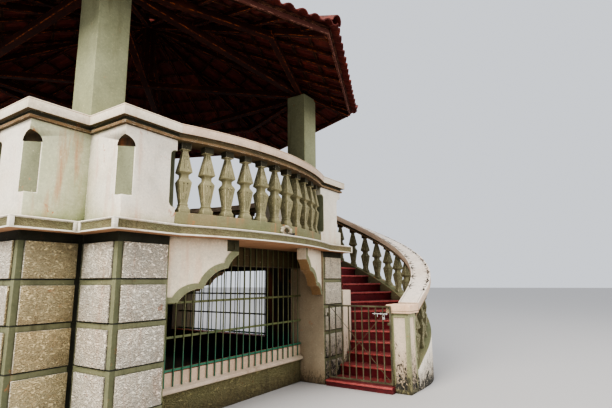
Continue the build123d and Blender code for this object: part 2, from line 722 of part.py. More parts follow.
def jack(offset):
    """A common rafter of one roof side, square to the eave, on the X axis."""
    half = math.radians(180 / ROOF_SIDES)
    slope = HIP_RISE / math.cos(half)
    edge = (EAVE_RADIUS * math.cos(half)) - FASCIA_THICK
    reach = abs(offset) + RAFTER_WIDTH / 2
    start = max((reach + HIP_WIDTH / 2 / math.cos(half)) / math.tan(half), KING_APOTHEM + HIP_WIDTH)
    top = roof_top(0)
    points = [
        (start, top - slope * start),
        (edge, top - slope * edge),
        (edge, top - slope * edge - RAFTER_DEPTH),
        (start, top - slope * start - RAFTER_DEPTH),
    ]
    shape = extrude(Plane.XZ * make_face(Polyline(*points, close=True)), RAFTER_WIDTH / 2, both=True)
    return Pos(0, offset, 0) * shape


def tile_side():
    """The tiled layer of one roof side, centred on the X axis: a three-cornered bed with a rib down
    the slope for each row of cover tiles."""
    half = math.radians(180 / ROOF_SIDES)
    slope = HIP_RISE / math.cos(half)
    edge = (EAVE_RADIUS + TILE_OVERHANG) * math.cos(half)
    start = CROWN_SEAT
    width = math.tan(half)
    reach = edge * width
    count = int((reach - TILE_RIB_FOOT / 2) / TILE_PITCH)
    section = [(-reach, 0), (-reach, TILE_BED)]
    for index in range(-count, count + 1):
        middle = index * TILE_PITCH
        section.append((middle - TILE_RIB_FOOT / 2, TILE_BED))
        section.append((middle - TILE_RIB_CROWN / 2, TILE_LAYER))
        section.append((middle + TILE_RIB_CROWN / 2, TILE_LAYER))
        section.append((middle + TILE_RIB_FOOT / 2, TILE_BED))
    section += [(reach, TILE_BED), (reach, 0)]
    face = Plane.YZ * make_face(Polyline(*section, close=True))
    down = Vector(1, 0, -slope)
    layer = Pos(0, 0, roof_top(0)) * extrude(face, edge * down.length, dir=down.normalized())
    near, far = start * width - JOINT, edge * width - JOINT
    return layer & prism([(start, -near), (edge, -far), (edge, far), (start, near)], 0, FAR)


def hip_tile():
    """A run of half-round tiles along a hip, on the X axis, seated on the tiled sides."""
    start, end = CROWN_SEAT, EAVE_RADIUS + TILE_OVERHANG
    slope = math.degrees(math.atan(HIP_RISE))
    length = (end - start) / math.cos(math.radians(slope))
    lift = TILE_LAYER - HIP_TILE_SINK
    outer = RegularPolygon(HIP_TILE_RADIUS, HIP_TILE_SIDES)
    inner = RegularPolygon(HIP_TILE_RADIUS - HIP_TILE_THICK, HIP_TILE_SIDES)
    tube = extrude(Plane.YZ * (outer - inner), length)
    tube = Pos(start, 0, roof_top(start) + lift) * Rot(0, slope, 0) * tube
    half = math.radians(180 / ROOF_SIDES)
    for side in (1, -1):
        fall = HIP_RISE / math.cos(half)
        upward = (fall * math.cos(side * half), fall * math.sin(side * half), 1)
        tiled = Plane(origin=(0, 0, roof_top(0) + TILE_LAYER), z_dir=upward)
        tube -= extrude(tiled * Rectangle(FAR, FAR), -FAR)
    return tube


def crown():
    """The cap tile where the hips meet."""
    foot = roof_top(KING_APOTHEM)
    cap = extrude(octagon(CROWN_RADIUS), CROWN_HEIGHT, taper=CROWN_TAPER)
    lift = foot + TILE_LAYER + HIP_TILE_RADIUS - CROWN_SINK
    plug = extrude(octagon(CROWN_SEAT - CROWN_PLUG), lift - foot)
    return Pos(0, 0, lift) * cap + Pos(0, 0, foot) * plug


# Ground floor and the four corners; a column stands on the coping and behind the parapet
floor_half = PIER_FACE - BAY_RECESS - BAY_WALL
ground = block((-floor_half, -BAY_HALF, 0), (floor_half, BAY_HALF, FLOOR))
ground += block((-BAY_HALF, -floor_half, 0), (BAY_HALF, floor_half, FLOOR))
save("ground_floor", ground)
core, blocks, wall = pier_core(), pier_blocks(), parapet()
raised = []
cap = coping()
corner_cap = cap & corner_zone()
shaft = block((-COLUMN_CORNER,) * 2 + (PLATFORM,), (-COLUMN_CORNER + COLUMN,) * 2 + (COLUMN_TOP,))
notch = block((-FAR, -FAR, 0), (-NOTCH_FACE, -NOTCH_FACE, COPING_TOP))
shaft = shaft - wall - corner_cap - notch
columns = []
for turns, name in enumerate(CORNERS):
    save(f"pier_{name}", quarter(core, turns))
    raised += [quarter(piece, turns) for piece in blocks]
    save(f"parapet_{name}", quarter(wall, turns))
    save(f"coping_{name}", quarter(corner_cap, turns))
    columns.append(quarter(shaft, turns))
save("pier_blocks", *raised)
save("columns", *columns)
save("platform", platform())

# Walls, grilles and brackets of the four bays
low_wall, bars, one_bracket = bay_wall(), grille(), bracket()
brackets, grilles = [], []
for turns, name in enumerate(SIDES):
    save(f"bay_wall_{name}", *[quarter(piece, turns) for piece in low_wall])
    grilles += [quarter(bar, turns) for bar in bars]
    for side in (one_bracket, mirror(one_bracket, about=Plane.YZ)):
        brackets.append(quarter(side, turns))
save("grilles", *grilles)
save("brackets", *brackets)

# Curved balustrades; the right bay is open where the stair lands
curb_band = band(0, -WALL, PLATFORM, PLATFORM + CURB)
baluster_solid = baluster(PARAPET - CURB)
open_side = post_place()[2]
curbs, balusters = [], []
for turns, name in enumerate(SIDES):
    zone = bay_zone() if name != "right" else bay_zone(left=open_side)
    curb, rail = curb_band & zone, cap & zone
    for angle, x, y in bay_places():
        if name != "right" or x > open_side + POST:
            place = Pos(x, y, PLATFORM + CURB) * Rot(0, 0, angle)
            balusters.append(quarter(place * baluster_solid, turns))
    curb, rail = quarter(curb, turns), quarter(rail, turns)
    if name == "right":
        under_cap = Pos(0, 0, COPING_TOP - COPING_FASCIA - PLATFORM - SEAT) * post_box(NEWEL_CAP_REACH + SEAT)
        curb, rail = curb - post_box(SEAT), rail - post_box(SEAT) - under_cap
    curbs.append(curb)
    save(f"rail_{name}", rail)
save("balustrade_curbs", *curbs)
save("balusters", *balusters)

# Roof timbers
reach = COLUMN_CENTRE + BEAM_WIDTH / 2
inner = COLUMN_CENTRE - BEAM_WIDTH / 2
mitre = [(-reach + JOINT, -reach), (reach - JOINT, -reach), (inner - JOINT, -inner), (-inner + JOINT, -inner)]
beam = prism(mitre, COLUMN_TOP, COLUMN_TOP + BEAM_HEIGHT)
save("ring_beams", *[quarter(beam, turns) for turns in range(4)])
tie_length = 2 * inner * math.sqrt(2)
tie = Pos(0, 0, COLUMN_TOP + BEAM_HEIGHT / 2) * Box(tie_length, TIE_WIDTH, BEAM_HEIGHT)
cross = Rot(0, 0, 45) * tie + Rot(0, 0, -45) * tie
cross = cross & block((-inner, -inner, 0), (inner, inner, FAR))
save("cross_ties", cross)
king_foot = COLUMN_TOP + BEAM_HEIGHT
king = RegularPolygon(KING_APOTHEM, ROOF_SIDES, major_radius=False, rotation=22.5)
save("king_post", Pos(0, 0, king_foot) * extrude(king, roof_top(KING_APOTHEM) - king_foot))
purlin_spread = PURLIN_WIDTH / 2 / math.cos(math.radians(180 / ROOF_SIDES))
purlin = octagon(COLUMN_RADIUS + purlin_spread) - octagon(COLUMN_RADIUS - purlin_spread)
purlin = purlin - Rectangle(2 * reach, 2 * reach)
half_turn = math.radians(180 / ROOF_SIDES)
purlin_edge = COLUMN_RADIUS * math.cos(half_turn) + PURLIN_WIDTH / 2
purlin_top = roof_top(0) - HIP_RISE / math.cos(half_turn) * purlin_edge - RAFTER_DEPTH
purlins = Pos(0, 0, COLUMN_TOP) * extrude(purlin, purlin_top - COLUMN_TOP)
save("outer_purlins", purlins)
turn_step = 360 / ROOF_SIDES
bearers = [quarter(beam, turns) for turns in range(4)] + [purlins, cross] + columns
hips = [Rot(0, 0, turn_step * i) * hip() - bearers for i in range(ROOF_SIDES)]
save("hip_rafters", *hips)
out_d = EAVE_RADIUS * math.cos(half_turn)
in_d = out_d - FASCIA_THICK
tan_half = math.tan(half_turn)
jacks = []
jack_reach = (in_d - RAFTER_LEAST) * tan_half - HIP_WIDTH / 2 / math.cos(half_turn) - RAFTER_WIDTH / 2
each_way = int(jack_reach / RAFTER_PITCH)
for side in range(ROOF_SIDES):
    for index in range(-each_way, each_way + 1):
        jacks.append(Rot(0, 0, turn_step * (side + 0.5)) * jack(index * RAFTER_PITCH))
save("rafters", *jacks)
board_points = [
    (out_d, -out_d * tan_half + JOINT),
    (out_d, out_d * tan_half - JOINT),
    (in_d, in_d * tan_half - JOINT),
    (in_d, -in_d * tan_half + JOINT),
]
eave_top = roof_top(EAVE_RADIUS)
board = prism(board_points, eave_top - FASCIA_HEIGHT, eave_top)
save("eave_fascia", *[Rot(0, 0, turn_step * (i + 0.5)) * board for i in range(ROOF_SIDES)])
tiles = [Rot(0, 0, turn_step * (i + 0.5)) * tile_side() for i in range(ROOF_SIDES)]
save("roof_tiles", *tiles)
roof_cap = crown()
one_run = hip_tile() - roof_cap
save("hip_tiles", *[Rot(0, 0, turn_step * i) * one_run for i in range(ROOF_SIDES)])
save("roof_crown", roof_cap)

# Stair
save("stair_steps", *steps())
save("stair_landing", landing())
save("stair_core", stair_core())
outer_wall = stair_wall() - extrude(plan(SLAB_REACH + SEAT), PLATFORM) - post_box(SEAT)
newel_edge = NEWEL_FACE + NEWEL + NEWEL_CAP_REACH + SEAT
stair_rail = stair_run(rail_profile, POST_TURN - POST_LAP) - post_box(SEAT)
stair_rail -= block((0, -FAR, NEWEL_HEIGHT - SEAT), (newel_edge, 0, FAR))
save("stair_wall", outer_wall)
save("stair_rail", stair_rail)
save("stair_balusters", *stair_balusters(stair_rail, outer_wall))
save("landing_post", landing_post())
save("newel", newel())
save("gate_leaf", gate_leaf())
save("gate_hinges", *gate_hinges())
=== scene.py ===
import math
import random
import bpy
from mathutils import Matrix, Vector


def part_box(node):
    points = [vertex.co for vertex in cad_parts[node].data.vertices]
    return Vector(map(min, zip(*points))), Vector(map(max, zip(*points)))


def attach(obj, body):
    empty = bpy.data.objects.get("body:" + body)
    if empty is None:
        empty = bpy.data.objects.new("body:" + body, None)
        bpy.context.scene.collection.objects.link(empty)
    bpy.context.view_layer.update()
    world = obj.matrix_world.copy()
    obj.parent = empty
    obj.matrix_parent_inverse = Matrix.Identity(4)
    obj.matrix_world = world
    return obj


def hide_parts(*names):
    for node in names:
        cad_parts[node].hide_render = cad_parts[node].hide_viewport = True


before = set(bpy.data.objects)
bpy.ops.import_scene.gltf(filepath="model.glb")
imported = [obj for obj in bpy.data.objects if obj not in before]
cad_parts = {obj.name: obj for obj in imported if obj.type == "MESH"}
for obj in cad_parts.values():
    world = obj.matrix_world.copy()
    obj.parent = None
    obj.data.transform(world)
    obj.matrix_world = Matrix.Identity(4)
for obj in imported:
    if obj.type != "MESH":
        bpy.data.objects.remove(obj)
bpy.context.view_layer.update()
random.seed(7)

# Sizes of the building that the dressing follows, in metres
PIER_FACE = 2.88
NOTCH_FACE = 2.25
CORNER_REACH = PIER_FACE + NOTCH_FACE
BAY_HALF = 1.62
BAY_KINK = 1.57
BAY_BULGE = 0.30
BAY_RECESS = 0.48
BAY_RADIUS = (BAY_KINK**2 + BAY_BULGE**2) / (2 * BAY_BULGE)
BAY_CENTRE_Y = BAY_RADIUS - BAY_BULGE - PIER_FACE
ROOM_REACH = PIER_FACE - BAY_RECESS - 0.2
PLINTH_TOP = 0.35
SILL_MOULD_TOP = 0.47
SILL_TOP = 0.6
SOFFIT = 2.17
SLAB = 0.12
SLAB_FILLET = 0.015
SLAB_REACH = 0.156
SLAB_SINK = 0.014
PLATFORM = SOFFIT + SLAB
WALL_TOP = PLATFORM + 1.0
BED_MOULD = 0.032
COPING_GROOVE = 0.042
COPING_TOP = WALL_TOP + 0.188
CHAMFER_SHOULDER = PLATFORM + 0.782
BLOCK_TOP = 2.07
BLOCK_MARGIN = 0.059
BLOCK_FEET = (1.71, 1.2825, 0.855, 0.4275)
BLOCK_SHADE = 0.016
STAIR_X = 2.4
STAIR_Y = -2.4
STAIR_RAIL_RADIUS = 1.8
FIRST_RISER = 0.1
RISERS = 14
RISER = (PLATFORM - FIRST_RISER) / (RISERS - 1)
COLUMN_TOP = 5.3
COLUMN_RADIUS = 2.993
HIP_RISE = 0.383
ROOF_SEAT = 0.193
ROOF_PEAK = COLUMN_TOP + ROOF_SEAT + HIP_RISE * COLUMN_RADIUS
ROOF_SIDES = 8
HALF_TURN = math.pi / ROOF_SIDES
EAVE_RADIUS = 4.02
TILE_OVERHANG = 0.13
DRAIN_ACROSS = 0.14
DRAIN_HEIGHT = PLATFORM + 0.075
SIDES = 4
BAYS = ("front", "right", "back", "left")
CORNERS = {"front_left": (-1, -1), "front_right": (1, -1), "back_right": (1, 1), "back_left": (-1, 1)}
UP = Vector((0, 0, 1))
LAID_DOWN = Matrix.Rotation(math.pi / 2, 4, "X")

# The photograph's camera
IMAGE_WIDTH = 612
FOCAL_PIXELS = 438.11
CAMERA_PLACE = Vector((-4.8192, -6.8169, 1.6622))
CAMERA_YAW = math.radians(33.603)
CAMERA_TILT = math.radians(10.028)
CAMERA_ROLL = math.radians(-0.442)
SENSOR = 36.0


def object_mode():
    """Back to object mode, with what was edited in the mesh."""
    bpy.ops.object.mode_set(mode="OBJECT")


def deselect():
    """Nothing is selected, in object mode."""
    if bpy.context.mode != "OBJECT":
        object_mode()
    bpy.ops.object.select_all(action="DESELECT")


def activate(obj):
    """Only this object is selected and active."""
    deselect()
    obj.select_set(True)
    bpy.context.view_layer.objects.active = obj


def edit(obj, faces=None):
    """Edit mode, with the faces that pass a test selected, or everything."""
    activate(obj)
    bpy.ops.object.mode_set(mode="EDIT")
    if faces is None:
        bpy.ops.mesh.select_all(action="SELECT")
        return
    bpy.ops.mesh.select_all(action="DESELECT")
    bpy.ops.mesh.select_mode(type="FACE")
    object_mode()
    for face in obj.data.polygons:
        face.select = bool(faces(face.center, face.normal))
    bpy.ops.object.mode_set(mode="EDIT")


def named(obj, name):
    """Names an object and its mesh."""
    obj.name = name
    obj.data.name = name
    return obj


def settle(obj):
    """The object's place goes into its mesh."""
    activate(obj)
    bpy.ops.object.transform_apply(location=True, rotation=True, scale=True)
    return obj


def placed(place):
    """The primitive that was just added, with a matrix gone into its mesh."""
    obj = bpy.context.active_object
    obj.matrix_world = place
    return settle(obj)


def block(size, middle):
    """A plain block of a size about its middle."""
    bpy.ops.mesh.primitive_cube_add(size=1, location=middle)
    obj = bpy.context.active_object
    obj.dimensions = size
    return settle(obj)


def rod(vertices, radius, length, place, **settings):
    """A round bar along the Z axis of a frame."""
    bpy.ops.mesh.primitive_cylinder_add(vertices=vertices, radius=radius, depth=length, **settings)
    return placed(place)


def ring(radius, thick, place):
    """A round ring in the XY plane of a frame."""
    bpy.ops.mesh.primitive_torus_add(major_segments=24, minor_segments=8, major_radius=radius,
                                     minor_radius=thick)
    return placed(place)


def axes(along_x, along_y, along_z, origin):
    """The frame with these three axes and this origin."""
    place = Matrix((along_x, along_y, along_z)).transposed().to_4x4()
    place.translation = origin
    return place


def apply_modifiers(obj):
    """Every modifier goes into the mesh."""
    activate(obj)
    for modifier in list(obj.modifiers):
        bpy.ops.object.modifier_apply(modifier=modifier.name)


def smooth(obj, angle=35):
    """Smooth shading, with sharp edges kept."""
    activate(obj)
    bpy.ops.object.shade_smooth_by_angle(angle=math.radians(angle))


def soften(obj, width, segments=2, angle=30):
    """Worn edges: a narrow round along every sharp edge."""
    bevel = obj.modifiers.new("edge", "BEVEL")
    bevel.width = width
    bevel.segments = segments
    bevel.limit_method = "ANGLE"
    bevel.angle_limit = math.radians(angle)
    apply_modifiers(obj)
    smooth(obj)


def walled(obj, thick):
    """A sheet gets a wall on its inner side."""
    obj.modifiers.new("wall", "SOLIDIFY").thickness = thick
    apply_modifiers(obj)


def carve(obj, cutter, operation="DIFFERENCE", **settings):
    """Takes a cutter's shape out of a piece, or keeps what the two share, and removes the cutter."""
    boolean = obj.modifiers.new("carve", "BOOLEAN")
    boolean.operation = operation
    boolean.solver = "EXACT"
    boolean.object = cutter
    for label, value in settings.items():
        setattr(boolean, label, value)
    apply_modifiers(obj)
    bpy.data.objects.remove(cutter)


def cut(obj, where, normal, **settings):
    """A flat cut right through a piece, which can also clear one side of it."""
    edit(obj)
    bpy.ops.mesh.bisect(plane_co=where, plane_no=normal, **settings)
    object_mode()


def split(obj, axis, *places):
    """Cuts across one axis, so that the faces on their two sides can take different finishes."""
    normal = Vector([float(letter == axis) for letter in "XYZ"])
    for place in places:
        cut(obj, normal * place, normal)


def copy_of(obj, name, place):
    """A copy with its own mesh, placed by a matrix that goes into the mesh."""
    other = obj.copy()
    other.data = obj.data.copy()
    bpy.context.collection.objects.link(other)
    other.matrix_world = place @ obj.matrix_world
    return settle(named(other, name))


def join(pieces, name):
    """Several objects become one."""
    deselect()
    for piece in pieces:
        piece.select_set(True)
    bpy.context.view_layer.objects.active = pieces[0]
    if len(pieces) > 1:
        bpy.ops.object.join()
    return named(bpy.context.view_layer.objects.active, name)


def turned(index, sides):
    """The turn from the first side to another, about the building's middle."""
    return Matrix.Rotation(index * 2 * math.pi / sides, 4, "Z")


def all_round(obj, name, sides=SIDES):
    """A piece and its copies on the other sides become one."""
    copies = [copy_of(obj, f"{name}_{index}", turned(index, sides)) for index in range(1, sides)]
    return join([obj] + copies, name)


def cad_copy(node):
    """A new object with a node's shape, its loose triangles merged into whole faces."""
    obj = bpy.data.objects.new(node + "_worn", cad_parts[node].data.copy())
    bpy.context.collection.objects.link(obj)
    obj.data.materials.clear()
    edit(obj)
    bpy.ops.mesh.remove_doubles(threshold=0.00002)
    bpy.ops.mesh.dissolve_limited(angle_limit=math.radians(0.4))
    object_mode()
    return named(obj, node + "_worn")


def stands_for(obj, node, body="bandstand"):
    """The object takes a node's place and rides on its body."""
    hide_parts(node)
    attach(obj, body)


def worn(node, material, width=0.006, body="bandstand"):
    """A node with softened edges and a finish, in place of the plain one."""
    obj = cad_copy(node)
    soften(obj, width)
    obj.data.materials.append(material)
    stands_for(obj, node, body)
    return obj


def added(obj, material, body="bandstand"):
    """A piece that stands for no node: its finish and what it rides on."""
    obj.data.materials.append(material)
    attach(obj, body)


def paint_faces(obj, material, test):
    """Faces whose middle and normal pass a test take another finish."""
    obj.data.materials.append(material)
    index = len(obj.data.materials) - 1
    for face in obj.data.polygons:
        if test(face.center, face.normal):
            face.material_index = index


def face_up(middle, normal):
    """Faces that look up."""
    return normal.z > 0.5


def face_down(middle, normal):
    """Faces that look down."""
    return normal.z < -0.4


def farther(middle):
    """Distance from the middle of the plan, along the axis on which it is greater."""
    return max(abs(middle.x), abs(middle.y))


def nearer(middle):
    """Distance from the middle of the plan, along the axis on which it is less."""
    return min(abs(middle.x), abs(middle.y))


# Finishes: small helpers that add nodes to a tree and give back what they put out
def set_input(tree, socket, value):
    """Links a socket to another, or sets its value."""
    if isinstance(value, bpy.types.NodeSocket):
        tree.links.new(value, socket)
    elif value is not None:
        socket.default_value = value


def object_place(tree):
    """The surface's place in the building, in metres."""
    return tree.nodes.new("ShaderNodeTexCoord").outputs["Object"]


def stretched(tree, vector, scale):
    """A place, stretched along the axes."""
    node = tree.nodes.new("ShaderNodeMapping")
    set_input(tree, node.inputs["Vector"], vector)
    node.inputs["Scale"].default_value = scale
    return node.outputs["Vector"]


def noise(tree, vector, scale, detail=4.0, roughness=0.55, distortion=0.0):
    """Cloudy noise from 0 to 1."""
    node = tree.nodes.new("ShaderNodeTexNoise")
    set_input(tree, node.inputs["Vector"], vector)
    set_input(tree, node.inputs["Scale"], scale)
    node.inputs["Detail"].default_value = detail
    node.inputs["Roughness"].default_value = roughness
    node.inputs["Distortion"].default_value = distortion
    return node.outputs["Fac"]


def between(tree, value, low, high, start=0.0, end=1.0):
    """A soft step: start below low, end above high."""
    node = tree.nodes.new("ShaderNodeMapRange")
    node.interpolation_type = "SMOOTHSTEP"
    ends = {"Value": value, "From Min": low, "From Max": high, "To Min": start, "To Max": end}
    for label, amount in ends.items():
        set_input(tree, node.inputs[label], amount)
    return node.outputs["Result"]


def maths(tree, operation, first, second=None):
    """One sum on two values."""
    node = tree.nodes.new("ShaderNodeMath")
    node.operation = operation
    set_input(tree, node.inputs[0], first)
    set_input(tree, node.inputs[1], second)
    return node.outputs[0]


def times(tree, first, second):
    """Two values multiplied."""
    return maths(tree, "MULTIPLY", first, second)


def apart(tree, first, second):
    """How far two values are from each other."""
    return maths(tree, "ABSOLUTE", maths(tree, "SUBTRACT", first, second))


def part_of(tree, vector, axis):
    """One coordinate of a place."""
    node = tree.nodes.new("ShaderNodeSeparateXYZ")
    set_input(tree, node.inputs[0], vector)
    return node.outputs[axis]


def facing_up(tree):
    """How far the surface looks up, from -1 to 1."""
    return part_of(tree, tree.nodes.new("ShaderNodeNewGeometry").outputs["Normal"], "Z")


def rgb(colour):
    """A colour as it looks on screen, from 0 to 255, made linear."""
    def linear(part):
        return part / 12.92 if part <= 0.04045 else ((part + 0.055) / 1.055) ** 2.4
    return tuple(linear(part / 255) for part in colour) + (1.0,)


def scaled(colour, share):
    """A linear colour made darker or lighter."""
    return tuple(min(part * share, 1.0) for part in colour[:3]) + (1.0,)


def blend_colour(tree, amount, first, second):
    """One colour over another."""
    node = tree.nodes.new("ShaderNodeMix")
    node.data_type = "RGBA"
    set_input(tree, node.inputs[0], amount)
    set_input(tree, node.inputs[6], first)
    set_input(tree, node.inputs[7], second)
    return node.outputs[2]


def coat(tree, colour, tint, mask, share=1.0):
    """A tint, as on screen, over a colour where a mask says so."""
    amount = mask if share == 1.0 else times(tree, mask, share)
    return blend_colour(tree, amount, colour, rgb(tint))


def new_group(name, inputs, outputs):
    """An effect that several finishes share, with named values in and out."""
    tree = bpy.data.node_groups.new(name, "ShaderNodeTree")
    for label, value in inputs.items():
        socket = tree.interface.new_socket(label, in_out="INPUT", socket_type="NodeSocketFloat")
        socket.default_value = value
    for label in outputs:
        tree.interface.new_socket(label, in_out="OUTPUT", socket_type="NodeSocketFloat")
    return tree, tree.nodes.new("NodeGroupInput").outputs, tree.nodes.new("NodeGroupOutput").inputs


def use_group(tree, group, **values):
    """An effect placed in a finish, with its own values."""
    node = tree.nodes.new("ShaderNodeGroup")
    node.node_tree = group
    for label, value in values.items():
        set_input(tree, node.inputs[label.replace("_", " ")], value)
    return node.outputs


def make_weather_group():
    """Masks of old paint outdoors: clouds, streaks that run down, spots and flakes."""
    tree, enter, leave = new_group(
        "weather", {"Cloud Scale": 1.3, "Spot Scale": 9.0}, ["Clouds", "Streaks", "Spots", "Flakes"]
    )
    place = object_place(tree)
    clouds = noise(tree, place, enter["Cloud Scale"], 5.0, 0.6)
    tree.links.new(between(tree, clouds, 0.42, 0.68), leave["Clouds"])
    streaks = noise(tree, stretched(tree, place, (9.0, 9.0, 0.9)), 1.0, 5.0, 0.62)
    fade = noise(tree, place, 1.1, 2.0)
    streaks = times(tree, between(tree, streaks, 0.5, 0.72), between(tree, fade, 0.4, 0.62))
    tree.links.new(streaks, leave["Streaks"])
    spots = noise(tree, place, enter["Spot Scale"], 6.0, 0.72, 0.4)
    patches = noise(tree, place, 1.7, 3.0)
    spots = times(tree, between(tree, spots, 0.6, 0.68), between(tree, patches, 0.5, 0.62))
    tree.links.new(spots, leave["Spots"])
    flakes = noise(tree, place, 26.0, 5.0, 0.6, 0.6)
    tree.links.new(between(tree, flakes, 0.66, 0.7), leave["Flakes"])
    return tree


def make_edge_group():
    """A mask of the sharp edges, broken up by noise."""
    # The edge mask serves worn edges, and painted highlights on the timber.
    tree, enter, leave = new_group("edge_wear_and_highlight", {"Radius": 0.015}, ["Edge"])
    rounded = tree.nodes.new("ShaderNodeBevel")
    rounded.samples = 4
    tree.links.new(enter["Radius"], rounded.inputs["Radius"])
    dot = tree.nodes.new("ShaderNodeVectorMath")
    dot.operation = "DOT_PRODUCT"
    tree.links.new(rounded.outputs[0], dot.inputs[0])
    tree.links.new(tree.nodes.new("ShaderNodeNewGeometry").outputs["Normal"], dot.inputs[1])
    edge = between(tree, dot.outputs["Value"], 0.99, 0.9)
    broken = between(tree, noise(tree, object_place(tree), 14.0, 5.0, 0.65), 0.44, 0.6)
    tree.links.new(times(tree, edge, broken), leave["Edge"])
    return tree


def make_shade_and_dirt_group():
    """Painted shade and dirt in the occluded corners, dirt splashed up from the ground, and specks of mould.
    """
    tree, enter, leave = new_group(
        "dirt", {"Distance": 0.12, "Splash Height": 0.55}, ["Corners", "Splash", "Mould"]
    )
    place = object_place(tree)
    # Occlusion: the corners are darkened as painted shade and as dirt that rain doesn't wash.
    hidden = tree.nodes.new("ShaderNodeAmbientOcclusion")
    hidden.samples = 6
    tree.links.new(enter["Distance"], hidden.inputs["Distance"])
    corner = between(tree, hidden.outputs["AO"], 0.75, 0.25)
    uneven = between(tree, noise(tree, place, 5.0, 5.0, 0.62), 0.3, 0.62, 0.35, 1.0)
    tree.links.new(times(tree, corner, uneven), leave["Corners"])
    height = part_of(tree, place, "Z")
    wavy = noise(tree, stretched(tree, place, (3.0, 3.0, 1.0)), 1.6, 6.0, 0.7)
    level = times(tree, times(tree, wavy, enter["Splash Height"]), 2.0)
    tree.links.new(between(tree, height, level, times(tree, level, 0.1)), leave["Splash"])
    specks = noise(tree, stretched(tree, place, (1.0, 1.0, 0.6)), 26.0, 7.0, 0.78, 0.4)
    share = maths(tree, "DIVIDE", height, maths(tree, "ADD", level, 0.02))
    start = maths(tree, "ADD", times(tree, share, 0.26), 0.4)
    amount = maths(tree, "SUBTRACT", specks, start)
    tree.links.new(between(tree, amount, 0.0, 0.05), leave["Mould"])
    return tree


def make_render_group():
    """Height of a rendered surface: trowel waves, or the drawn-out lumps of a thrown roughcast."""
    tree, enter, leave = new_group("render_height", {"Lumps": 0.0, "Lump Scale": 24.0}, ["Height"])
    place = object_place(tree)
    waves = noise(tree, place, 7.0, 4.0)
    fine = noise(tree, place, 90.0, 4.0, 0.6)
    plain = maths(tree, "ADD", times(tree, waves, 0.35), times(tree, fine, 0.16))
    drawn = stretched(tree, place, (1.0, 1.0, 1.9))
    lumps = noise(tree, drawn, enter["Lump Scale"], 3.0, 0.5, 1.6)
    thrown = times(tree, between(tree, lumps, 0.36, 0.62), enter["Lumps"])
    tree.links.new(maths(tree, "ADD", plain, thrown), leave["Height"])
    return tree


WEATHER = make_weather_group()
EDGE_WEAR_AND_HIGHLIGHT = make_edge_group()
SHADE_AND_DIRT = make_shade_and_dirt_group()
RENDER_HEIGHT = make_render_group()


def new_material(name):
    """An empty material: itself, its tree and its shader."""
    material = bpy.data.materials.new(name)
    material.use_nodes = True
    return material, material.node_tree, material.node_tree.nodes["Principled BSDF"]


def finish(tree, shader, colour, roughness, height, strength, distance):
    """Colour, roughness and relief go to a shader."""
    tree.links.new(colour, shader.inputs["Base Color"])
    tree.links.new(roughness, shader.inputs["Roughness"])
    bump = tree.nodes.new("ShaderNodeBump")
    bump.inputs["Strength"].default_value = strength
    bump.inputs["Distance"].default_value = distance
    tree.links.new(height, bump.inputs["Height"])
    tree.links.new(bump.outputs["Normal"], shader.inputs["Normal"])


# Colours below are red, green and blue as they look on screen, from 0 to 255
RUST_STAIN = (186, 104, 52)
BROWN_STAIN = (104, 78, 44)
BLACK_DIRT_AND_SHADE = (38, 36, 28)
ALGAE = (128, 138, 92)
DEEP_SHADE = (52, 48, 32)
COPING_LINE = (128, 96, 56)


def masonry(name, paint, aged, lumps=0.0, chips=(236, 228, 206), streak=RUST_STAIN, streaks=0.4,
            spots=0.5, chipped=0.7, corner_shade_and_dirt_share=0.8, splash=0.3, mould=0.6, hollow=0.3, hollow_tint=ALGAE,
            hollow_reach=0.7, relief=0.6, line=None, line_tint=COPING_LINE):
    """Paint on render or roughcast, with age, rain streaks, chips, flakes, algae, mould and dirt, and painted
    shade in its hollows, corners and crevices.
    """
    material, tree, shader = new_material(name)
    place = object_place(tree)
    weather = use_group(tree, WEATHER)
    edge = use_group(tree, EDGE_WEAR_AND_HIGHLIGHT, Radius=0.012)["Edge"]
    dirt = use_group(tree, SHADE_AND_DIRT, Distance=0.08, Splash_Height=splash)
    deep = use_group(tree, SHADE_AND_DIRT, Distance=hollow_reach)["Corners"]
    height = use_group(tree, RENDER_HEIGHT, Lumps=lumps)["Height"]
    paint, aged = rgb(paint), rgb(aged)
    dark = scaled(paint, 0.6 + 0.28 * min(lumps, 1.0))
    tone = noise(tree, place, 3.1, 6.0, 0.7)
    grain = noise(tree, place, 42.0, 5.0, 0.75)
    colour = blend_colour(tree, times(tree, weather["Clouds"], 0.8), paint, aged)
    colour = blend_colour(tree, between(tree, tone, 0.42, 0.8, 0.0, 0.6), colour, dark)
    colour = blend_colour(tree, between(tree, grain, 0.5, 0.7, 0.0, 0.5), colour, dark)
    colour = blend_colour(tree, between(tree, grain, 0.48, 0.32, 0.0, 0.6), colour, scaled(paint, 1.25))
    # Painted shade: the crevices between the roughcast's lumps are darkened.
    if lumps:
        colour = blend_colour(tree, between(tree, height, 0.62, 0.24, 0.0, 0.75), colour, scaled(aged, 0.5))
    # The occluded hollows take the hollow tint: algae with the default tint, painted shade with the darker
    # tints. The corners take painted shade and dirt in black.
    coats = (
        (hollow_tint, deep, hollow), (streak, weather["Streaks"], streaks),
        (RUST_STAIN, weather["Spots"], spots), (chips, weather["Flakes"], 0.4), (chips, edge, chipped),
        (BLACK_DIRT_AND_SHADE, dirt["Corners"], corner_shade_and_dirt_share), (BROWN_STAIN, dirt["Splash"], 0.45),
        (BLACK_DIRT_AND_SHADE, dirt["Mould"], mould),
    )
    for tint, mask, share in coats:
        colour = coat(tree, colour, tint, mask, share)
    if line:
        colour = coat(tree, colour, line_tint, line(tree))
    height = maths(tree, "SUBTRACT", height, times(tree, weather["Flakes"], 0.08))
    roughness = between(tree, tone, 0.2, 0.8, 0.78, 0.95)
    finish(tree, shader, colour, roughness, height, relief, 0.02 + 0.03 * lumps)
    return material


def level_line(tree):
    """A mask just under the top edge of the level copings."""
    off = apart(tree, part_of(tree, object_place(tree), "Z"), COPING_TOP - 0.014)
    return between(tree, off, 0.006, 0.002, 0.0, 0.8)


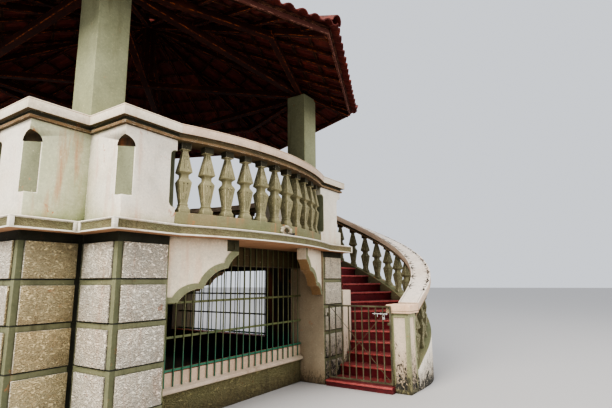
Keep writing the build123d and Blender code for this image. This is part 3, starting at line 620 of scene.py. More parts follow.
def rail_line(tree):
    """A mask along both edges of the top of the stair's rail."""
    place = object_place(tree)
    along = maths(tree, "MAXIMUM", maths(tree, "SUBTRACT", part_of(tree, place, "X"), STAIR_X), 0.0)
    back = maths(tree, "SUBTRACT", part_of(tree, place, "Y"), STAIR_Y)
    squares = maths(tree, "ADD", times(tree, along, along), times(tree, back, back))
    beside = apart(tree, maths(tree, "SQRT", squares), STAIR_RAIL_RADIUS)
    line = between(tree, apart(tree, beside, 0.138), 0.006, 0.003, 0.0, 0.6)
    return times(tree, line, between(tree, facing_up(tree), 0.5, 0.8))


LIME = masonry("lime_paint", (230, 222, 206), (220, 202, 178), hollow=0.8, spots=0.8)
# Lime paint with algae, made darker as painted shade for the faces in the notch.
LIME_ALGAE_AND_SHADE = masonry("lime_algae_and_shade", (204, 204, 174), (184, 188, 152), hollow=0.9, spots=1.0, streaks=0.6)
COPING = masonry(
    "coping_paint", (222, 210, 190), (204, 188, 162), streak=BROWN_STAIN, streaks=0.45, spots=0.4,
    chips=(206, 166, 120), hollow=0.1, line=level_line
)
# The bay rails: the coping's paint made darker and pinker as painted shade.
SHADED_RAIL_PAINT = masonry(
    "rail_painted_shade", (206, 184, 162), (190, 164, 140), streak=BROWN_STAIN, chips=(232, 214, 196), hollow=0.1,
    line=level_line
)
STAIR_RAIL = masonry(
    "stair_rail", (222, 210, 196), (204, 186, 166), streak=BROWN_STAIN, streaks=0.3, chips=(236, 224, 206),
    hollow=0.1, corner_shade_and_dirt_share=0.15, line=rail_line, line_tint=(70, 60, 40)
)
# Painted shade under the copings: the underside, the rail's groove and the bed mould are painted brown.
COPING_SHADE = masonry("coping_underside_shade", (84, 62, 38), (66, 48, 28), streak=BLACK_DIRT_AND_SHADE)
SHADED_RAIL_GROOVE = masonry("rail_groove_shade", (112, 94, 64), (90, 76, 50), streak=BLACK_DIRT_AND_SHADE)
SHADED_COPING_BED = masonry("coping_bed_shade", (122, 96, 64), (98, 74, 48), streak=BLACK_DIRT_AND_SHADE, streaks=0.5)
SHADOW_GROOVE = masonry("shadow_groove", (34, 32, 22), (50, 42, 26), chips=(80, 66, 44), chipped=0.2)
GREEN = masonry(
    "green_paint", (122, 122, 92), (110, 109, 80), streak=(96, 88, 54), streaks=0.5, spots=0.3,
    chips=(214, 204, 168), hollow=0.2
)
COLUMN_GREEN = masonry(
    "column_green", (148, 150, 118), (136, 138, 106), streak=(104, 98, 66), streaks=0.5, spots=0.3,
    chips=(204, 198, 160), hollow=0.2, mould=0.0
)
BALUSTER_GREEN = masonry(
    "baluster_green", (138, 131, 97), (122, 116, 84), streak=(76, 66, 40), streaks=0.5, spots=0.2,
    chips=(226, 212, 172), chipped=0.9, hollow=0.9, hollow_tint=DEEP_SHADE, hollow_reach=0.14, mould=0.1
)
# The stair's balusters: the bay balusters' paint made darker as painted shade.
SHADED_STAIR_BALUSTER = masonry(
    "stair_baluster_shade", (120, 115, 84), (102, 97, 68), streak=(64, 56, 34), streaks=0.6, spots=0.2,
    chips=(226, 214, 178), chipped=0.9, hollow=0.9, hollow_tint=DEEP_SHADE, hollow_reach=0.16, mould=0.5
)
# Painted shade: the baluster caps in the shadow of the rail.
SHADED_BALUSTER_CAP = masonry(
    "baluster_cap_shade", (58, 54, 36), (46, 43, 28), streak=BLACK_DIRT_AND_SHADE, chipped=0.3, hollow=0.5,
    hollow_tint=DEEP_SHADE
)
CURB_GREEN = masonry(
    "curb_green", (116, 117, 84), (130, 114, 84), streaks=0.7, spots=0.9, chips=(222, 200, 164)
)
SILL_CREAM = masonry("sill_cream", (206, 186, 164), (190, 166, 142), streak=BROWN_STAIN, spots=0.4)
CHAMFER_GREEN = masonry(
    "chamfer_green", (120, 121, 94), (108, 110, 84), streak=(80, 74, 44), streaks=0.5, spots=0.9,
    chips=(196, 192, 160), hollow=0.2
)
# Painted shade inside the pointed heads of the chamfers.
HEAD_SHADE = masonry("chamfer_head_shade", (62, 50, 32), (84, 68, 42), chips=(120, 98, 64), hollow=0.0)
STRIP_GREEN = masonry(
    "strip_green", (122, 120, 84), (142, 126, 90), lumps=0.25, streak=(60, 56, 34), streaks=0.6, spots=0.4,
    chips=(184, 174, 138), relief=0.9
)
GROOVE_GREEN = masonry(
    "groove_green", (112, 113, 84), (124, 121, 90), streak=(62, 54, 32), streaks=0.6, spots=0.2,
    chips=(196, 190, 154), hollow=0.1, mould=0.4
)
# Painted shade on the groove margins of the faces that look along Y.
SHADED_SIDE_GROOVE = masonry(
    "groove_shaded_side", (86, 88, 62), (98, 97, 70), streak=BLACK_DIRT_AND_SHADE, chips=(150, 144, 108), hollow=0.0,
    mould=0.3
)
# Painted shadow: near black, in the deepest grooves and under each block.
PIER_GROOVE_SHADE = masonry(
    "pier_groove_shade", (30, 31, 17), (44, 44, 26), streak=BLACK_DIRT_AND_SHADE, streaks=0.6, chips=(120, 116, 84),
    hollow=0.0, mould=0.3
)
ROUGHCAST = masonry(
    "roughcast", (252, 242, 222), (246, 226, 198), lumps=1.0, relief=1.0, spots=0.8, chipped=0.5,
    hollow=0.2, mould=0.3
)
# Painted shade: a browner, darker copy of the roughcast for the blocks in the notch.
SHADED_ROUGHCAST = masonry(
    "roughcast_notch_shade", (222, 204, 160), (214, 184, 134), lumps=1.0, relief=1.0, chipped=0.4,
    streak=BROWN_STAIN
)
MOULDY_ROUGHCAST = masonry(
    "mouldy_roughcast", (252, 240, 216), (238, 220, 190), lumps=0.8, relief=0.9, splash=1.25, mould=1.0,
    streak=BLACK_DIRT_AND_SHADE, hollow=0.2
)
PLINTH = masonry(
    "plinth_paint", (150, 143, 96), (160, 148, 102), lumps=1.0, relief=1.0, streak=(60, 52, 32),
    chips=(160, 150, 112), chipped=0.3, hollow=0.0, mould=0.3
)
# Painted shade: the cream soffit made brown.
SHADED_SOFFIT = masonry(
    "soffit_painted_shade", (166, 124, 90), (144, 104, 72), streak=(120, 84, 54), hollow=0.2,
    hollow_tint=DEEP_SHADE, mould=0.0
)
JAMB = masonry(
    "jamb_paint", (168, 151, 124), (148, 129, 102), streak=(110, 86, 58), streaks=0.5, hollow=0.4,
    hollow_tint=(110, 88, 62)
)
BRACKET_FACE = masonry(
    "bracket_face", (228, 214, 190), (216, 194, 164), streak=(206, 146, 100), streaks=0.6, spots=0.9,
    hollow=0.2
)
# Painted shade: the lintel and the wall beside the opening, dark brown.
SHADED_LINTEL = masonry("lintel_painted_shade", (84, 70, 42), (68, 56, 32), streak=BLACK_DIRT_AND_SHADE, hollow=0.0, mould=0.0)
WALL_PINK = masonry("wall_pink", (206, 178, 152), (190, 158, 132), streak=BROWN_STAIN, hollow=0.2)
# Painted shade: the brackets' undersides, brown.
SHADED_SCALLOP = masonry("scallop_painted_shade", (150, 118, 80), (130, 100, 66), streak=(96, 72, 46), hollow=0.0)
TIP_PAINT = masonry("tip_paint", (62, 60, 38), (78, 72, 48), chips=(120, 110, 82), hollow=0.0)
# Painted shade: the inside of the room, near black.
ROOM_SHADE = masonry(
    "room_painted_shade", (36, 29, 30), (26, 21, 22), chips=(60, 50, 46), chipped=0.3, hollow=0.0, mould=0.0
)
SCREED = masonry("floor_screed", (128, 112, 96), (108, 96, 82), chips=(150, 140, 126), mould=0.0)
STAIR_WHITE = masonry(
    "stair_white", (230, 222, 206), (208, 196, 174), streak=BLACK_DIRT_AND_SHADE, streaks=0.5, splash=0.6, mould=1.0,
    spots=0.3
)
# Painted shade for the stair's inner faces.
STAIR_SHADE = masonry(
    "stair_inner_shade", (98, 88, 62), (80, 70, 48), streak=BLACK_DIRT_AND_SHADE, splash=0.4, hollow_tint=DEEP_SHADE
)
NEWEL_CREAM = masonry(
    "newel_cream", (226, 206, 182), (210, 190, 164), streak=BLACK_DIRT_AND_SHADE, streaks=0.3, splash=0.85, mould=1.0,
    spots=0.3
)
NEWEL_GREEN = masonry(
    "newel_green", (156, 156, 118), (138, 138, 102), streak=BLACK_DIRT_AND_SHADE, splash=0.5, mould=0.8
)
CAP_PINK = masonry(
    "cap_paint", (232, 198, 166), (212, 176, 142), streak=(190, 120, 78), spots=0.6, mould=0.0
)
MORTAR = masonry("mortar", (226, 216, 186), (196, 180, 146), lumps=0.7, relief=0.8, streaks=0.5)


def red_floor_paint(name, fresh, aged, worn_pale, walked_share):
    """Red floor paint: worn pale where it is walked on, with painted shade and dirt in the corners."""
    material, tree, shader = new_material(name)
    place = object_place(tree)
    edge = use_group(tree, EDGE_WEAR_AND_HIGHLIGHT, Radius=0.025)["Edge"]
    corners = use_group(tree, SHADE_AND_DIRT, Distance=0.08, Splash_Height=0.1)["Corners"]
    tone = noise(tree, place, 5.0, 6.0, 0.7)
    upward = between(tree, facing_up(tree), 0.5, 0.9, 0.0, walked_share)
    walked = times(tree, upward, between(tree, noise(tree, place, 3.0, 5.0), 0.35, 0.65, 0.4, 1.0))
    colour = blend_colour(tree, between(tree, tone, 0.3, 0.75), rgb(fresh), rgb(aged))
    colour = coat(tree, colour, worn_pale, walked)
    colour = coat(tree, colour, (204, 120, 108), edge, 0.8)
    colour = coat(tree, colour, (150, 90, 78), use_group(tree, WEATHER)["Flakes"], 0.3)
    # Painted shade and dirt: the occluded corners are darkened.
    colour = coat(tree, colour, (38, 14, 14), corners, 0.7)
    height = use_group(tree, RENDER_HEIGHT)["Height"]
    finish(tree, shader, colour, between(tree, tone, 0.2, 0.8, 0.45, 0.75), height, 0.4, 0.006)
    return material


def old_timber(name, dark, light, pale, lit_edge):
    """Stained roof timber: grain, lighter worn faces, dust, and a painted highlight along the edges."""
    material, tree, shader = new_material(name)
    place = object_place(tree)
    grain = noise(tree, stretched(tree, place, (5.0, 5.0, 30.0)), 3.0, 6.0, 0.65, 1.2)
    patches = noise(tree, place, 2.2, 4.0)
    colour = blend_colour(tree, between(tree, grain, 0.35, 0.7), rgb(dark), rgb(light))
    colour = coat(tree, colour, pale, between(tree, patches, 0.5, 0.75), 0.3)
    # Painted highlight: the lit edge colour along the sharp edges.
    colour = coat(tree, colour, lit_edge, use_group(tree, EDGE_WEAR_AND_HIGHLIGHT, Radius=0.022)["Edge"], 0.9)
    shader.inputs["Specular IOR Level"].default_value = 0.2
    finish(tree, shader, colour, between(tree, grain, 0.2, 0.8, 0.8, 0.95), grain, 0.35, 0.003)
    return material


def fired_clay(name):
    """Clay tiles: each tile's own tone from its attribute, moss on the upper side, painted shade on the under
    side, and painted shade with dirt in the corners.
    """
    material, tree, shader = new_material(name)
    place = object_place(tree)
    own = tree.nodes.new("ShaderNodeAttribute")
    own.attribute_name = "tile_tone"
    mottle = noise(tree, place, 16.0, 6.0, 0.7)
    facing = facing_up(tree)
    weathered = times(tree, between(tree, facing, -0.1, 0.6),
                      between(tree, noise(tree, place, 5.0, 6.0, 0.75), 0.38, 0.58))
    # Painted shade: faces that look down are darker.
    underside_shade = times(tree, between(tree, facing, 0.1, -0.4),
                  between(tree, noise(tree, place, 9.0, 5.0, 0.7), 0.3, 0.6, 0.45, 0.9))
    colour = blend_colour(tree, own.outputs["Fac"], rgb((84, 26, 18)), rgb((160, 62, 38)))
    colour = coat(tree, colour, (70, 28, 22), between(tree, mottle, 0.42, 0.7, 0.0, 0.8))
    colour = coat(tree, colour, (58, 44, 38), weathered, 0.8)
    colour = coat(tree, colour, (74, 18, 10), underside_shade)
    # Painted shade and dirt in the occluded corners.
    colour = coat(tree, colour, (24, 14, 12), use_group(tree, SHADE_AND_DIRT, Distance=0.06)["Corners"], 0.8)
    height = noise(tree, place, 60.0, 5.0, 0.6)
    finish(tree, shader, colour, between(tree, mottle, 0.2, 0.8, 0.7, 0.9), height, 0.5, 0.003)
    return material


def painted_iron(name, paint, faded, rust_share, low_paint=None):
    """Painted iron: chips of rust at edges and in patches, a dull gloss, and another coat low down."""
    material, tree, shader = new_material(name)
    place = object_place(tree)
    patches = noise(tree, place, 6.0, 6.0, 0.7)
    colour = blend_colour(tree, between(tree, patches, 0.35, 0.65), rgb(paint), rgb(faded))
    if low_paint:
        height = maths(tree, "ADD", part_of(tree, place, "Z"), times(tree, patches, 0.5))
        colour = coat(tree, colour, low_paint, between(tree, height, 1.35, 0.9))
    rust = between(tree, noise(tree, place, 38.0, 6.0, 0.72, 0.5), 0.58, 0.66)
    edge = use_group(tree, EDGE_WEAR_AND_HIGHLIGHT, Radius=0.004)["Edge"]
    rust = times(tree, maths(tree, "MAXIMUM", rust, edge), rust_share)
    flecks = between(tree, noise(tree, place, 90.0, 4.0), 0.4, 0.6)
    scale = blend_colour(tree, flecks, rgb((112, 58, 34)), rgb((70, 38, 28)))
    colour = blend_colour(tree, rust, colour, scale)
    height = maths(tree, "SUBTRACT", noise(tree, place, 70.0, 4.0), rust)
    finish(tree, shader, colour, between(tree, rust, 0.0, 1.0, 0.45, 0.85), height, 0.3, 0.0015)
    return material


RED_RISER = red_floor_paint("red_riser", (100, 16, 24), (78, 10, 18), (124, 44, 44), 0.4)
RED_TREAD = red_floor_paint("red_tread", (104, 28, 32), (84, 20, 24), (140, 64, 58), 0.6)
NOSING = red_floor_paint("red_nosing", (176, 84, 80), (150, 62, 60), (206, 130, 118), 0.7)
RED_EDGE = red_floor_paint("red_edge", (196, 76, 44), (170, 58, 36), (200, 96, 60), 0.5)
# The last colour of each timber is a painted highlight along its edges.
TIMBER = old_timber("timber", (34, 12, 7), (58, 24, 14), (104, 52, 30), (206, 112, 60))
BATTEN = old_timber("batten_wood", (34, 17, 12), (56, 30, 20), (96, 60, 42), (130, 84, 56))
FASCIA = old_timber("fascia_wood", (66, 34, 28), (90, 52, 44), (120, 78, 66), (190, 140, 120))
CLAY = fired_clay("clay_tile")
GRILLE_IRON = painted_iron("grille_iron", (84, 86, 50), (104, 108, 68), 0.5, (52, 108, 82))
GATE_IRON = painted_iron("gate_iron", (62, 60, 42), (96, 92, 68), 0.7)
DARK_IRON = painted_iron("dark_iron", (36, 34, 32), (60, 54, 48), 0.7)
PALE_STEEL = painted_iron("pale_steel", (196, 198, 196), (156, 156, 152), 0.3)


def dress_piers():
    """Piers: green grooves and corner bands, darker as painted shade on shaded sides, under blocks and in
    corners; pale jambs; the room behind painted dark as shade; raised roughcast blocks.
    """
    def in_deep_shade(middle, normal):
        inner = abs(abs(middle.x) - NOTCH_FACE) < BLOCK_MARGIN and abs(middle.y) < PIER_FACE - 0.02
        under = any(foot - BLOCK_SHADE < middle.z < foot for foot in BLOCK_FEET)
        return abs(normal.z) < 0.5 and (middle.z > BLOCK_TOP or under or (inner and abs(normal.y) > 0.5))

    def in_shaded_margin(middle, normal):
        beside = abs(abs(middle.x) - NOTCH_FACE) < BLOCK_MARGIN or abs(middle.x) > PIER_FACE - BLOCK_MARGIN
        return abs(normal.y) > 0.5 and beside

    for corner in CORNERS:
        pier = worn("pier_" + corner, GROOVE_GREEN, 0.008)
        for reach in (-ROOM_REACH, ROOM_REACH):
            split(pier, "X", reach)
            split(pier, "Y", reach)
        for reach in (NOTCH_FACE - BLOCK_MARGIN, NOTCH_FACE + BLOCK_MARGIN, PIER_FACE - BLOCK_MARGIN):
            split(pier, "X", reach, -reach)
        for foot in BLOCK_FEET:
            split(pier, "Z", foot, foot - BLOCK_SHADE)
        split(pier, "Z", BLOCK_TOP)
        # Painted shade: the margins on faces that look along Y are darker, and the notch corners, the band
        # along the top and the line under each block are near black.
        paint_faces(pier, SHADED_SIDE_GROOVE, in_shaded_margin)
        paint_faces(pier, PIER_GROOVE_SHADE, in_deep_shade)
        paint_faces(pier, JAMB, lambda middle, normal: nearer(middle) < BAY_HALF + 0.004)
        # The piers' faces inside the room are painted dark as shade.
        paint_faces(pier, ROOM_SHADE, lambda middle, normal: farther(middle) < ROOM_REACH)
    blocks = worn("pier_blocks", ROUGHCAST, 0.005)
    # The blocks of the left piers that look to the front, away from the front face, take painted shade.
    paint_faces(blocks, SHADED_ROUGHCAST, lambda middle, normal: middle.x < 0 and normal.y < -0.5
                and abs(middle.y) < PIER_FACE - 0.3)
    paint_faces(blocks, MOULDY_ROUGHCAST, lambda middle, normal: middle.x > 0 and middle.y < 0)


def dress_platform():
    """Platform edge: a green strip between pale fillets, its stops at the corners, and the soffit, painted
    brown as shade and dark over the room.
    """
    slab = worn("platform", LIME, 0.005)
    for reach in (-ROOM_REACH, ROOM_REACH):
        split(slab, "X", reach)
        split(slab, "Y", reach)
    low, high = SOFFIT + SLAB_FILLET, PLATFORM - SLAB_FILLET
    paint_faces(slab, STRIP_GREEN, lambda middle, normal: abs(normal.z) < 0.3 and low < middle.z < high)
    # The soffit's downward faces take painted shade.
    paint_faces(slab, SHADED_SOFFIT, lambda middle, normal: normal.z < -0.5 and middle.z < SOFFIT + 0.003)
    # The soffit over the room is painted dark as shade.
    paint_faces(slab, ROOM_SHADE, lambda middle, normal: normal.z < -0.5 and farther(middle) < ROOM_REACH)
    paint_faces(slab, SCREED, lambda middle, normal: normal.z > 0.5 and middle.length < 3.4)
    width, proud = 0.043, 0.001
    thick = SLAB_SINK + proud + 0.004
    tall = SLAB - 2 * SLAB_FILLET + 0.002
    back, height = thick / 2 - proud, SOFFIT + SLAB / 2
    outer, inner = PIER_FACE + SLAB_REACH, NOTCH_FACE + SLAB_REACH
    stops = []
    half = width / 2
    for x, y, side in ((-outer, -inner, half), (-inner, -inner, -half), (-inner, -outer, half)):
        stops.append(block((width, thick, tall), (x + side, y + back, height)))
        stops.append(block((thick, width, tall), (x + back, y + side, height)))
    one = join(stops, "edge_stops")
    soften(one, 0.003)
    added(all_round(one, "edge_stops"), LIME)


def on_edge(across, depth, height):
    """A frame on the curved platform edge of the front bay: X along it, Y outwards, Z up."""
    reach = BAY_RADIUS + SLAB_REACH - depth
    place = Vector((across, BAY_CENTRE_Y - math.sqrt(reach**2 - across**2), height))
    out = Vector((place.x, place.y - BAY_CENTRE_Y, 0)).normalized()
    return axes(out.cross(UP), out, UP, place)


def make_drain():
    """The drain through the balustrade's curb: a rough ring of mortar, and a pipe to the platform's edge."""
    where = on_edge(DRAIN_ACROSS, SLAB_REACH - 0.004, DRAIN_HEIGHT) @ LAID_DOWN
    mortar = named(ring(0.046, 0.019, where @ Matrix.Diagonal((2.2, 1.15, 1.2, 1))), "drain_mortar")
    edit(mortar)
    bpy.ops.transform.vertex_random(offset=0.011, uniform=0.6, normal=0.2, seed=4)
    object_mode()
    smooth(mortar, 60)
    added(mortar, MORTAR)
    # Painted shade: a dark disc in the mortar ring for the hole's opening.
    hole = named(rod(20, 0.034, 0.014, where @ Matrix.Diagonal((2.1, 1.0, 1, 1))), "drain_hole_shade")
    soften(hole, 0.003)
    added(hole, TIP_PAINT)
    where = on_edge(DRAIN_ACROSS - 0.03, SLAB_REACH / 2, PLATFORM + 0.0175) @ LAID_DOWN
    pipe = named(rod(20, 0.017, SLAB_REACH + 0.012, where, end_fill_type="NOTHING"), "drain_pipe")
    walled(pipe, 0.004)
    soften(pipe, 0.001)
    added(pipe, DARK_IRON)


def paint_coping(obj, groove_paint=SHADOW_GROOVE):
    """The coping's finishes: a pale fascia, and painted shade under it: a brown underside, a dark shadow
    groove and a tan bed mould.
    """
    bed = WALL_TOP + BED_MOULD - 0.001
    paint_faces(obj, COPING_SHADE, face_down)
    paint_faces(obj, SHADED_COPING_BED, lambda middle, normal: normal.z > -0.4 and middle.z < bed)
    paint_faces(obj, groove_paint, lambda middle, normal: bed <= middle.z < bed + COPING_GROOVE)


def head_cutter(corner):
    """A prism with a pointed arch's outline, to cut the head of the stopped chamfer at a corner."""
    half, rise = 0.092, 0.104
    side = (rise**2 - half**2) / (2 * half)
    bows = []
    for sign in (-1, 1):
        bpy.ops.mesh.primitive_cylinder_add(vertices=64, radius=half + side, depth=0.26,
                                            location=(sign * side, 0, 0), rotation=(math.pi / 2, 0, 0))
        bows.append(settle(bpy.context.active_object))
    cutter, other = bows
    carve(cutter, other, "INTERSECT")
    cut(cutter, (0, 0, 0), UP, use_fill=True, clear_inner=True)
    out = Vector((math.copysign(1, corner.x), math.copysign(1, corner.y), 0)).normalized()
    cutter.data.transform(axes(out.cross(UP), out, UP, corner + out * 0.013))
    # The cut faces of the head take painted shade.
    cutter.data.materials.append(HEAD_SHADE)
    return cutter


def dress_parapets():
    """Parapets and copings: lime paint, pointed heads painted dark as shade and green faces on the stopped
    chamfers.
    """
    plane = CORNER_REACH - 0.178 / math.sqrt(2)

    def on_chamfer(middle, normal):
        diagonal = abs(abs(normal.x) - abs(normal.y)) < 0.1 and abs(normal.z) < 0.3
        flat = abs(abs(middle.x) + abs(middle.y) - plane) < 0.004
        return diagonal and flat and PLATFORM + 0.2 < middle.z < CHAMFER_SHOULDER

    def in_hollow(middle, normal):
        return 0.01 < nearer(middle) - BAY_KINK < 0.1 and PLATFORM + 0.16 < middle.z < PLATFORM + 0.9

    def in_notch(middle, normal):
        return abs(normal.y) > 0.9 and abs(abs(middle.y) - NOTCH_FACE) < 0.01 and abs(middle.x) > NOTCH_FACE

    for name, (right, back) in CORNERS.items():
        wall = worn("parapet_" + name, LIME)
        for reach_x, reach_y in ((PIER_FACE, NOTCH_FACE), (NOTCH_FACE, PIER_FACE)):
            head = head_cutter(Vector((right * reach_x, back * reach_y, CHAMFER_SHOULDER)))
            carve(wall, head, material_mode="TRANSFER")
        smooth(wall)
        # The notch faces take algae and painted shade.
        paint_faces(wall, LIME_ALGAE_AND_SHADE, in_notch)
        paint_faces(wall, CHAMFER_GREEN, lambda *face: on_chamfer(*face) or in_hollow(*face))
        paint_coping(worn("coping_" + name, COPING, 0.005))
    for bay in BAYS:
        # The bay rails take painted shade, with a brown groove in place of the dark one.
        paint_coping(worn("rail_" + bay, SHADED_RAIL_PAINT, 0.005), SHADED_RAIL_GROOVE)
    worn("balustrade_curbs", CURB_GREEN)
    post = worn("landing_post", LIME, 0.007)
    paint_faces(post, COPING, lambda middle, normal: middle.z > WALL_TOP + 0.07)
    worn("columns", COLUMN_GREEN)


def along_bay(middle):
    """Distance along a bay from its middle, to the right as it is seen from outside."""
    if abs(middle.y) > abs(middle.x):
        return -math.copysign(middle.x, middle.x * middle.y)
    return math.copysign(middle.y, middle.x * middle.y)


def dress_bays():
    """Bay walls and brackets, with painted shade on the walls above the sills, the brackets' undersides and
    the room.
    """
    for bay in BAYS:
        wall = worn("bay_wall_" + bay, WALL_PINK)
        # The wall above the sill takes painted shade.
        paint_faces(wall, SHADED_LINTEL, lambda middle, normal: middle.z > SILL_TOP + 0.02)
        paint_faces(wall, PLINTH, lambda middle, normal: middle.z < PLINTH_TOP)
        paint_faces(wall, SILL_CREAM, lambda middle, normal: PLINTH_TOP <= middle.z < SILL_MOULD_TOP)
        paint_faces(wall, RED_EDGE, lambda middle, normal: face_up(middle, normal)
                    and abs(middle.z - SILL_TOP) < 0.004)
        # The bay wall's inner faces are painted dark as shade.
        paint_faces(wall, ROOM_SHADE, lambda middle, normal: farther(middle) < ROOM_REACH + 0.01)
    brackets = worn("brackets", BRACKET_FACE, 0.003)
    tip, foot = 0.91, SOFFIT - 0.14
    for reach in (-tip, tip):
        split(brackets, "X", reach)
        split(brackets, "Y", reach)
    split(brackets, "Z", foot)

    def on_border(middle, normal):
        reach = math.hypot(nearer(middle), farther(middle) + BAY_CENTRE_Y)
        return reach > BAY_RADIUS - 0.006 and abs(normal.z) < 0.5

    paint_faces(brackets, GREEN, on_border)
    # Faces of the brackets that look down take painted shade.
    paint_faces(brackets, SHADED_SCALLOP, lambda middle, normal: normal.z < -0.25)
    paint_faces(brackets, TIP_PAINT, lambda middle, normal: nearer(middle) < tip and middle.z > foot
                and along_bay(middle) < 0)
    # The floor inside the room is painted dark as shade.
    paint_faces(worn("ground_floor", SCREED, 0.004), ROOM_SHADE, face_up)


def dress_stair():
    """Steps, walls, rail, newel and core."""
    def on_nosing(middle, normal):
        step = (middle.z + 0.017 - FIRST_RISER) / RISER
        return abs(step - round(step)) * RISER < 0.009 and abs(normal.z) < 0.5

    def beside_steps(middle, normal):
        out = Vector((max(middle.x - STAIR_X, 0), middle.y - STAIR_Y, 0))
        return abs(normal.z) < 0.3 and normal.dot(out) < 0

    def beside_rail(middle):
        along = max(middle.x - STAIR_X, 0)
        return abs(math.hypot(along, middle.y - STAIR_Y) - STAIR_RAIL_RADIUS)

    steps = worn("stair_steps", RED_RISER, 0.005)
    paint_faces(steps, RED_TREAD, face_up)
    paint_faces(steps, NOSING, on_nosing)
    # The landing and the inner side of the stair's wall take painted shade.
    paint_faces(worn("stair_landing", STAIR_SHADE, 0.005), RED_TREAD, face_up)
    wall = worn("stair_wall", STAIR_WHITE, 0.007)
    paint_faces(wall, STAIR_SHADE, beside_steps)
    paint_faces(wall, CURB_GREEN, lambda middle, normal: normal.z > 0.3)
    rail = worn("stair_rail", STAIR_RAIL, 0.005)
    fascia, groove, wall_side = 0.15, 0.127, 0.108
    # Painted shade: the rail's sides are darker than its top, with a brown underside and bed mould and a dark
    # shadow groove.
    paint_faces(rail, SHADED_RAIL_PAINT, lambda middle, normal: normal.z < 0.5)
    paint_faces(rail, COPING_SHADE, face_down)
    paint_faces(rail, SHADED_COPING_BED, lambda middle, normal: abs(normal.z) < 0.5
                and groove < beside_rail(middle) < fascia)
    paint_faces(rail, SHADOW_GROOVE, lambda middle, normal: normal.z > -0.4
                and wall_side < beside_rail(middle) < groove)
    worn("stair_core", NEWEL_CREAM)
    newel = worn("newel", NEWEL_GREEN, 0.005)
    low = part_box("newel")[0]
    border, shaft_top, cap_foot, line_low, line_high = 0.052, 1.12, 1.165, 1.2, 1.206
    paint_faces(newel, CAP_PINK, lambda middle, normal: middle.z > cap_foot)
    split(newel, "Z", line_low, line_high)
    # Painted shade: a dark line under the newel's cap, and its undersides.
    paint_faces(newel, COPING_SHADE, lambda middle, normal: line_low < middle.z < line_high or (
        normal.z < -0.5 and middle.z > 1.0))
    paint_faces(newel, NEWEL_CREAM, lambda middle, normal: middle.z < shaft_top and (
        (normal.x < -0.9 and middle.x > low.x + border) or (normal.y < -0.9 and middle.y > low.y + border)))


def dress_roof_timbers():
    """Beams, ties, rafters and fascia."""
    for node in ("ring_beams", "cross_ties", "king_post", "outer_purlins", "hip_rafters", "rafters"):
        worn(node, TIMBER, 0.004)
    worn("eave_fascia", FASCIA, 0.003)


def tone_attribute(obj, low=0.0, high=1.0):
    """Each tile gets a tone of its own."""
    layer = obj.data.attributes.new("tile_tone", "FLOAT", "FACE")
    layer.data.foreach_set("value", [random.uniform(low, high)] * len(obj.data.polygons))


TILE_PITCH = 0.205
TILE_LENGTH = 0.46
TILE_EXPOSED = 0.385
TILE_THICK = 0.013
TILE_WIDE_RADIUS = 0.088
TILE_NARROW_RADIUS = 0.068
TILE_SEGMENTS = 20
BATTEN_TOP = 0.03
COVER_AXIS = 0.0205


def barrel_tile(name, wide, narrow, thick, length, foot):
    """A round tapered tile along X, its wide end at X 0, its axis at Z 0, its crown up and its foot cut."""
    bpy.ops.mesh.primitive_cone_add(vertices=TILE_SEGMENTS, radius1=wide, radius2=narrow, depth=length,
                                    end_fill_type="NOTHING")
    tile = named(placed(Matrix.Translation((length / 2, 0, 0)) @ Matrix.Rotation(math.pi / 2, 4, "Y")), name)
    cut(tile, (0, 0, foot), UP, clear_inner=True)
    walled(tile, thick)
    edit(tile)
    bpy.ops.mesh.normals_make_consistent(inside=False)
    object_mode()
    return tile


def tile_slope():
    """The first roof side: a frame, X up it and Y along the eave, its run and its half width per metre."""
    slope = math.atan(HIP_RISE / math.cos(HALF_TURN))
    edge = (EAVE_RADIUS + TILE_OVERHANG) * math.cos(HALF_TURN)
    up = Vector((-math.cos(slope), 0, math.sin(slope)))
    out = Vector((math.sin(slope), 0, math.cos(slope)))
    place = axes(up, out.cross(up), out, (edge, 0, ROOF_PEAK - math.tan(slope) * edge))
    return (Matrix.Rotation(HALF_TURN, 4, "Z") @ place, edge / math.cos(slope),
            math.tan(HALF_TURN) * math.cos(slope))


def laid_tile(source, place):
    """One more tile in its place, with a tone of its own."""
    tile = source.copy()
    tile.data = source.data.copy()
    bpy.context.collection.objects.link(tile)
    tile.data.transform(place)
    tone_attribute(tile)
    return tile


def roof_side_tiles():
    """The tiles of one roof side: hollow channels on the battens and round covers over their joints."""
    source = barrel_tile("tile", TILE_WIDE_RADIUS, TILE_NARROW_RADIUS, TILE_THICK, TILE_LENGTH, 0.03)
    place, run, half_width = tile_slope()
    upturned = (Matrix.Translation((TILE_LENGTH, 0, 0)) @ Matrix.Rotation(math.pi, 4, "Z")
                @ Matrix.Rotation(math.pi, 4, "X"))
    tiles = []
    for row in range(int(run / TILE_EXPOSED)):
        start = 0.02 + row * TILE_EXPOSED
        reach = (run - start) * half_width + TILE_PITCH / 2
        for column in range(-34, 35):
            side = column * TILE_PITCH / 2
            if abs(side) > reach or start > run - 0.45:
                continue
            round_up = column % 2 == 0
            lift = COVER_AXIS if round_up else BATTEN_TOP + TILE_WIDE_RADIUS
            where = Matrix.Translation((start + random.uniform(-0.007, 0.007),
                                        side + random.uniform(-0.003, 0.003), lift))
            where = place @ where @ Matrix.Rotation(random.uniform(-0.011, 0.011), 4, "Z")
            tiles.append(laid_tile(source, where if round_up else where @ upturned))
    one = join(tiles, "roof_side")
    bpy.data.objects.remove(source)
    for angle, keep in ((0.0, 1), (2 * HALF_TURN, -1)):
        across = Vector((-math.sin(angle), math.cos(angle), 0)) * keep
        cut(one, across * 0.002, across, use_fill=True, clear_inner=True)
    return one


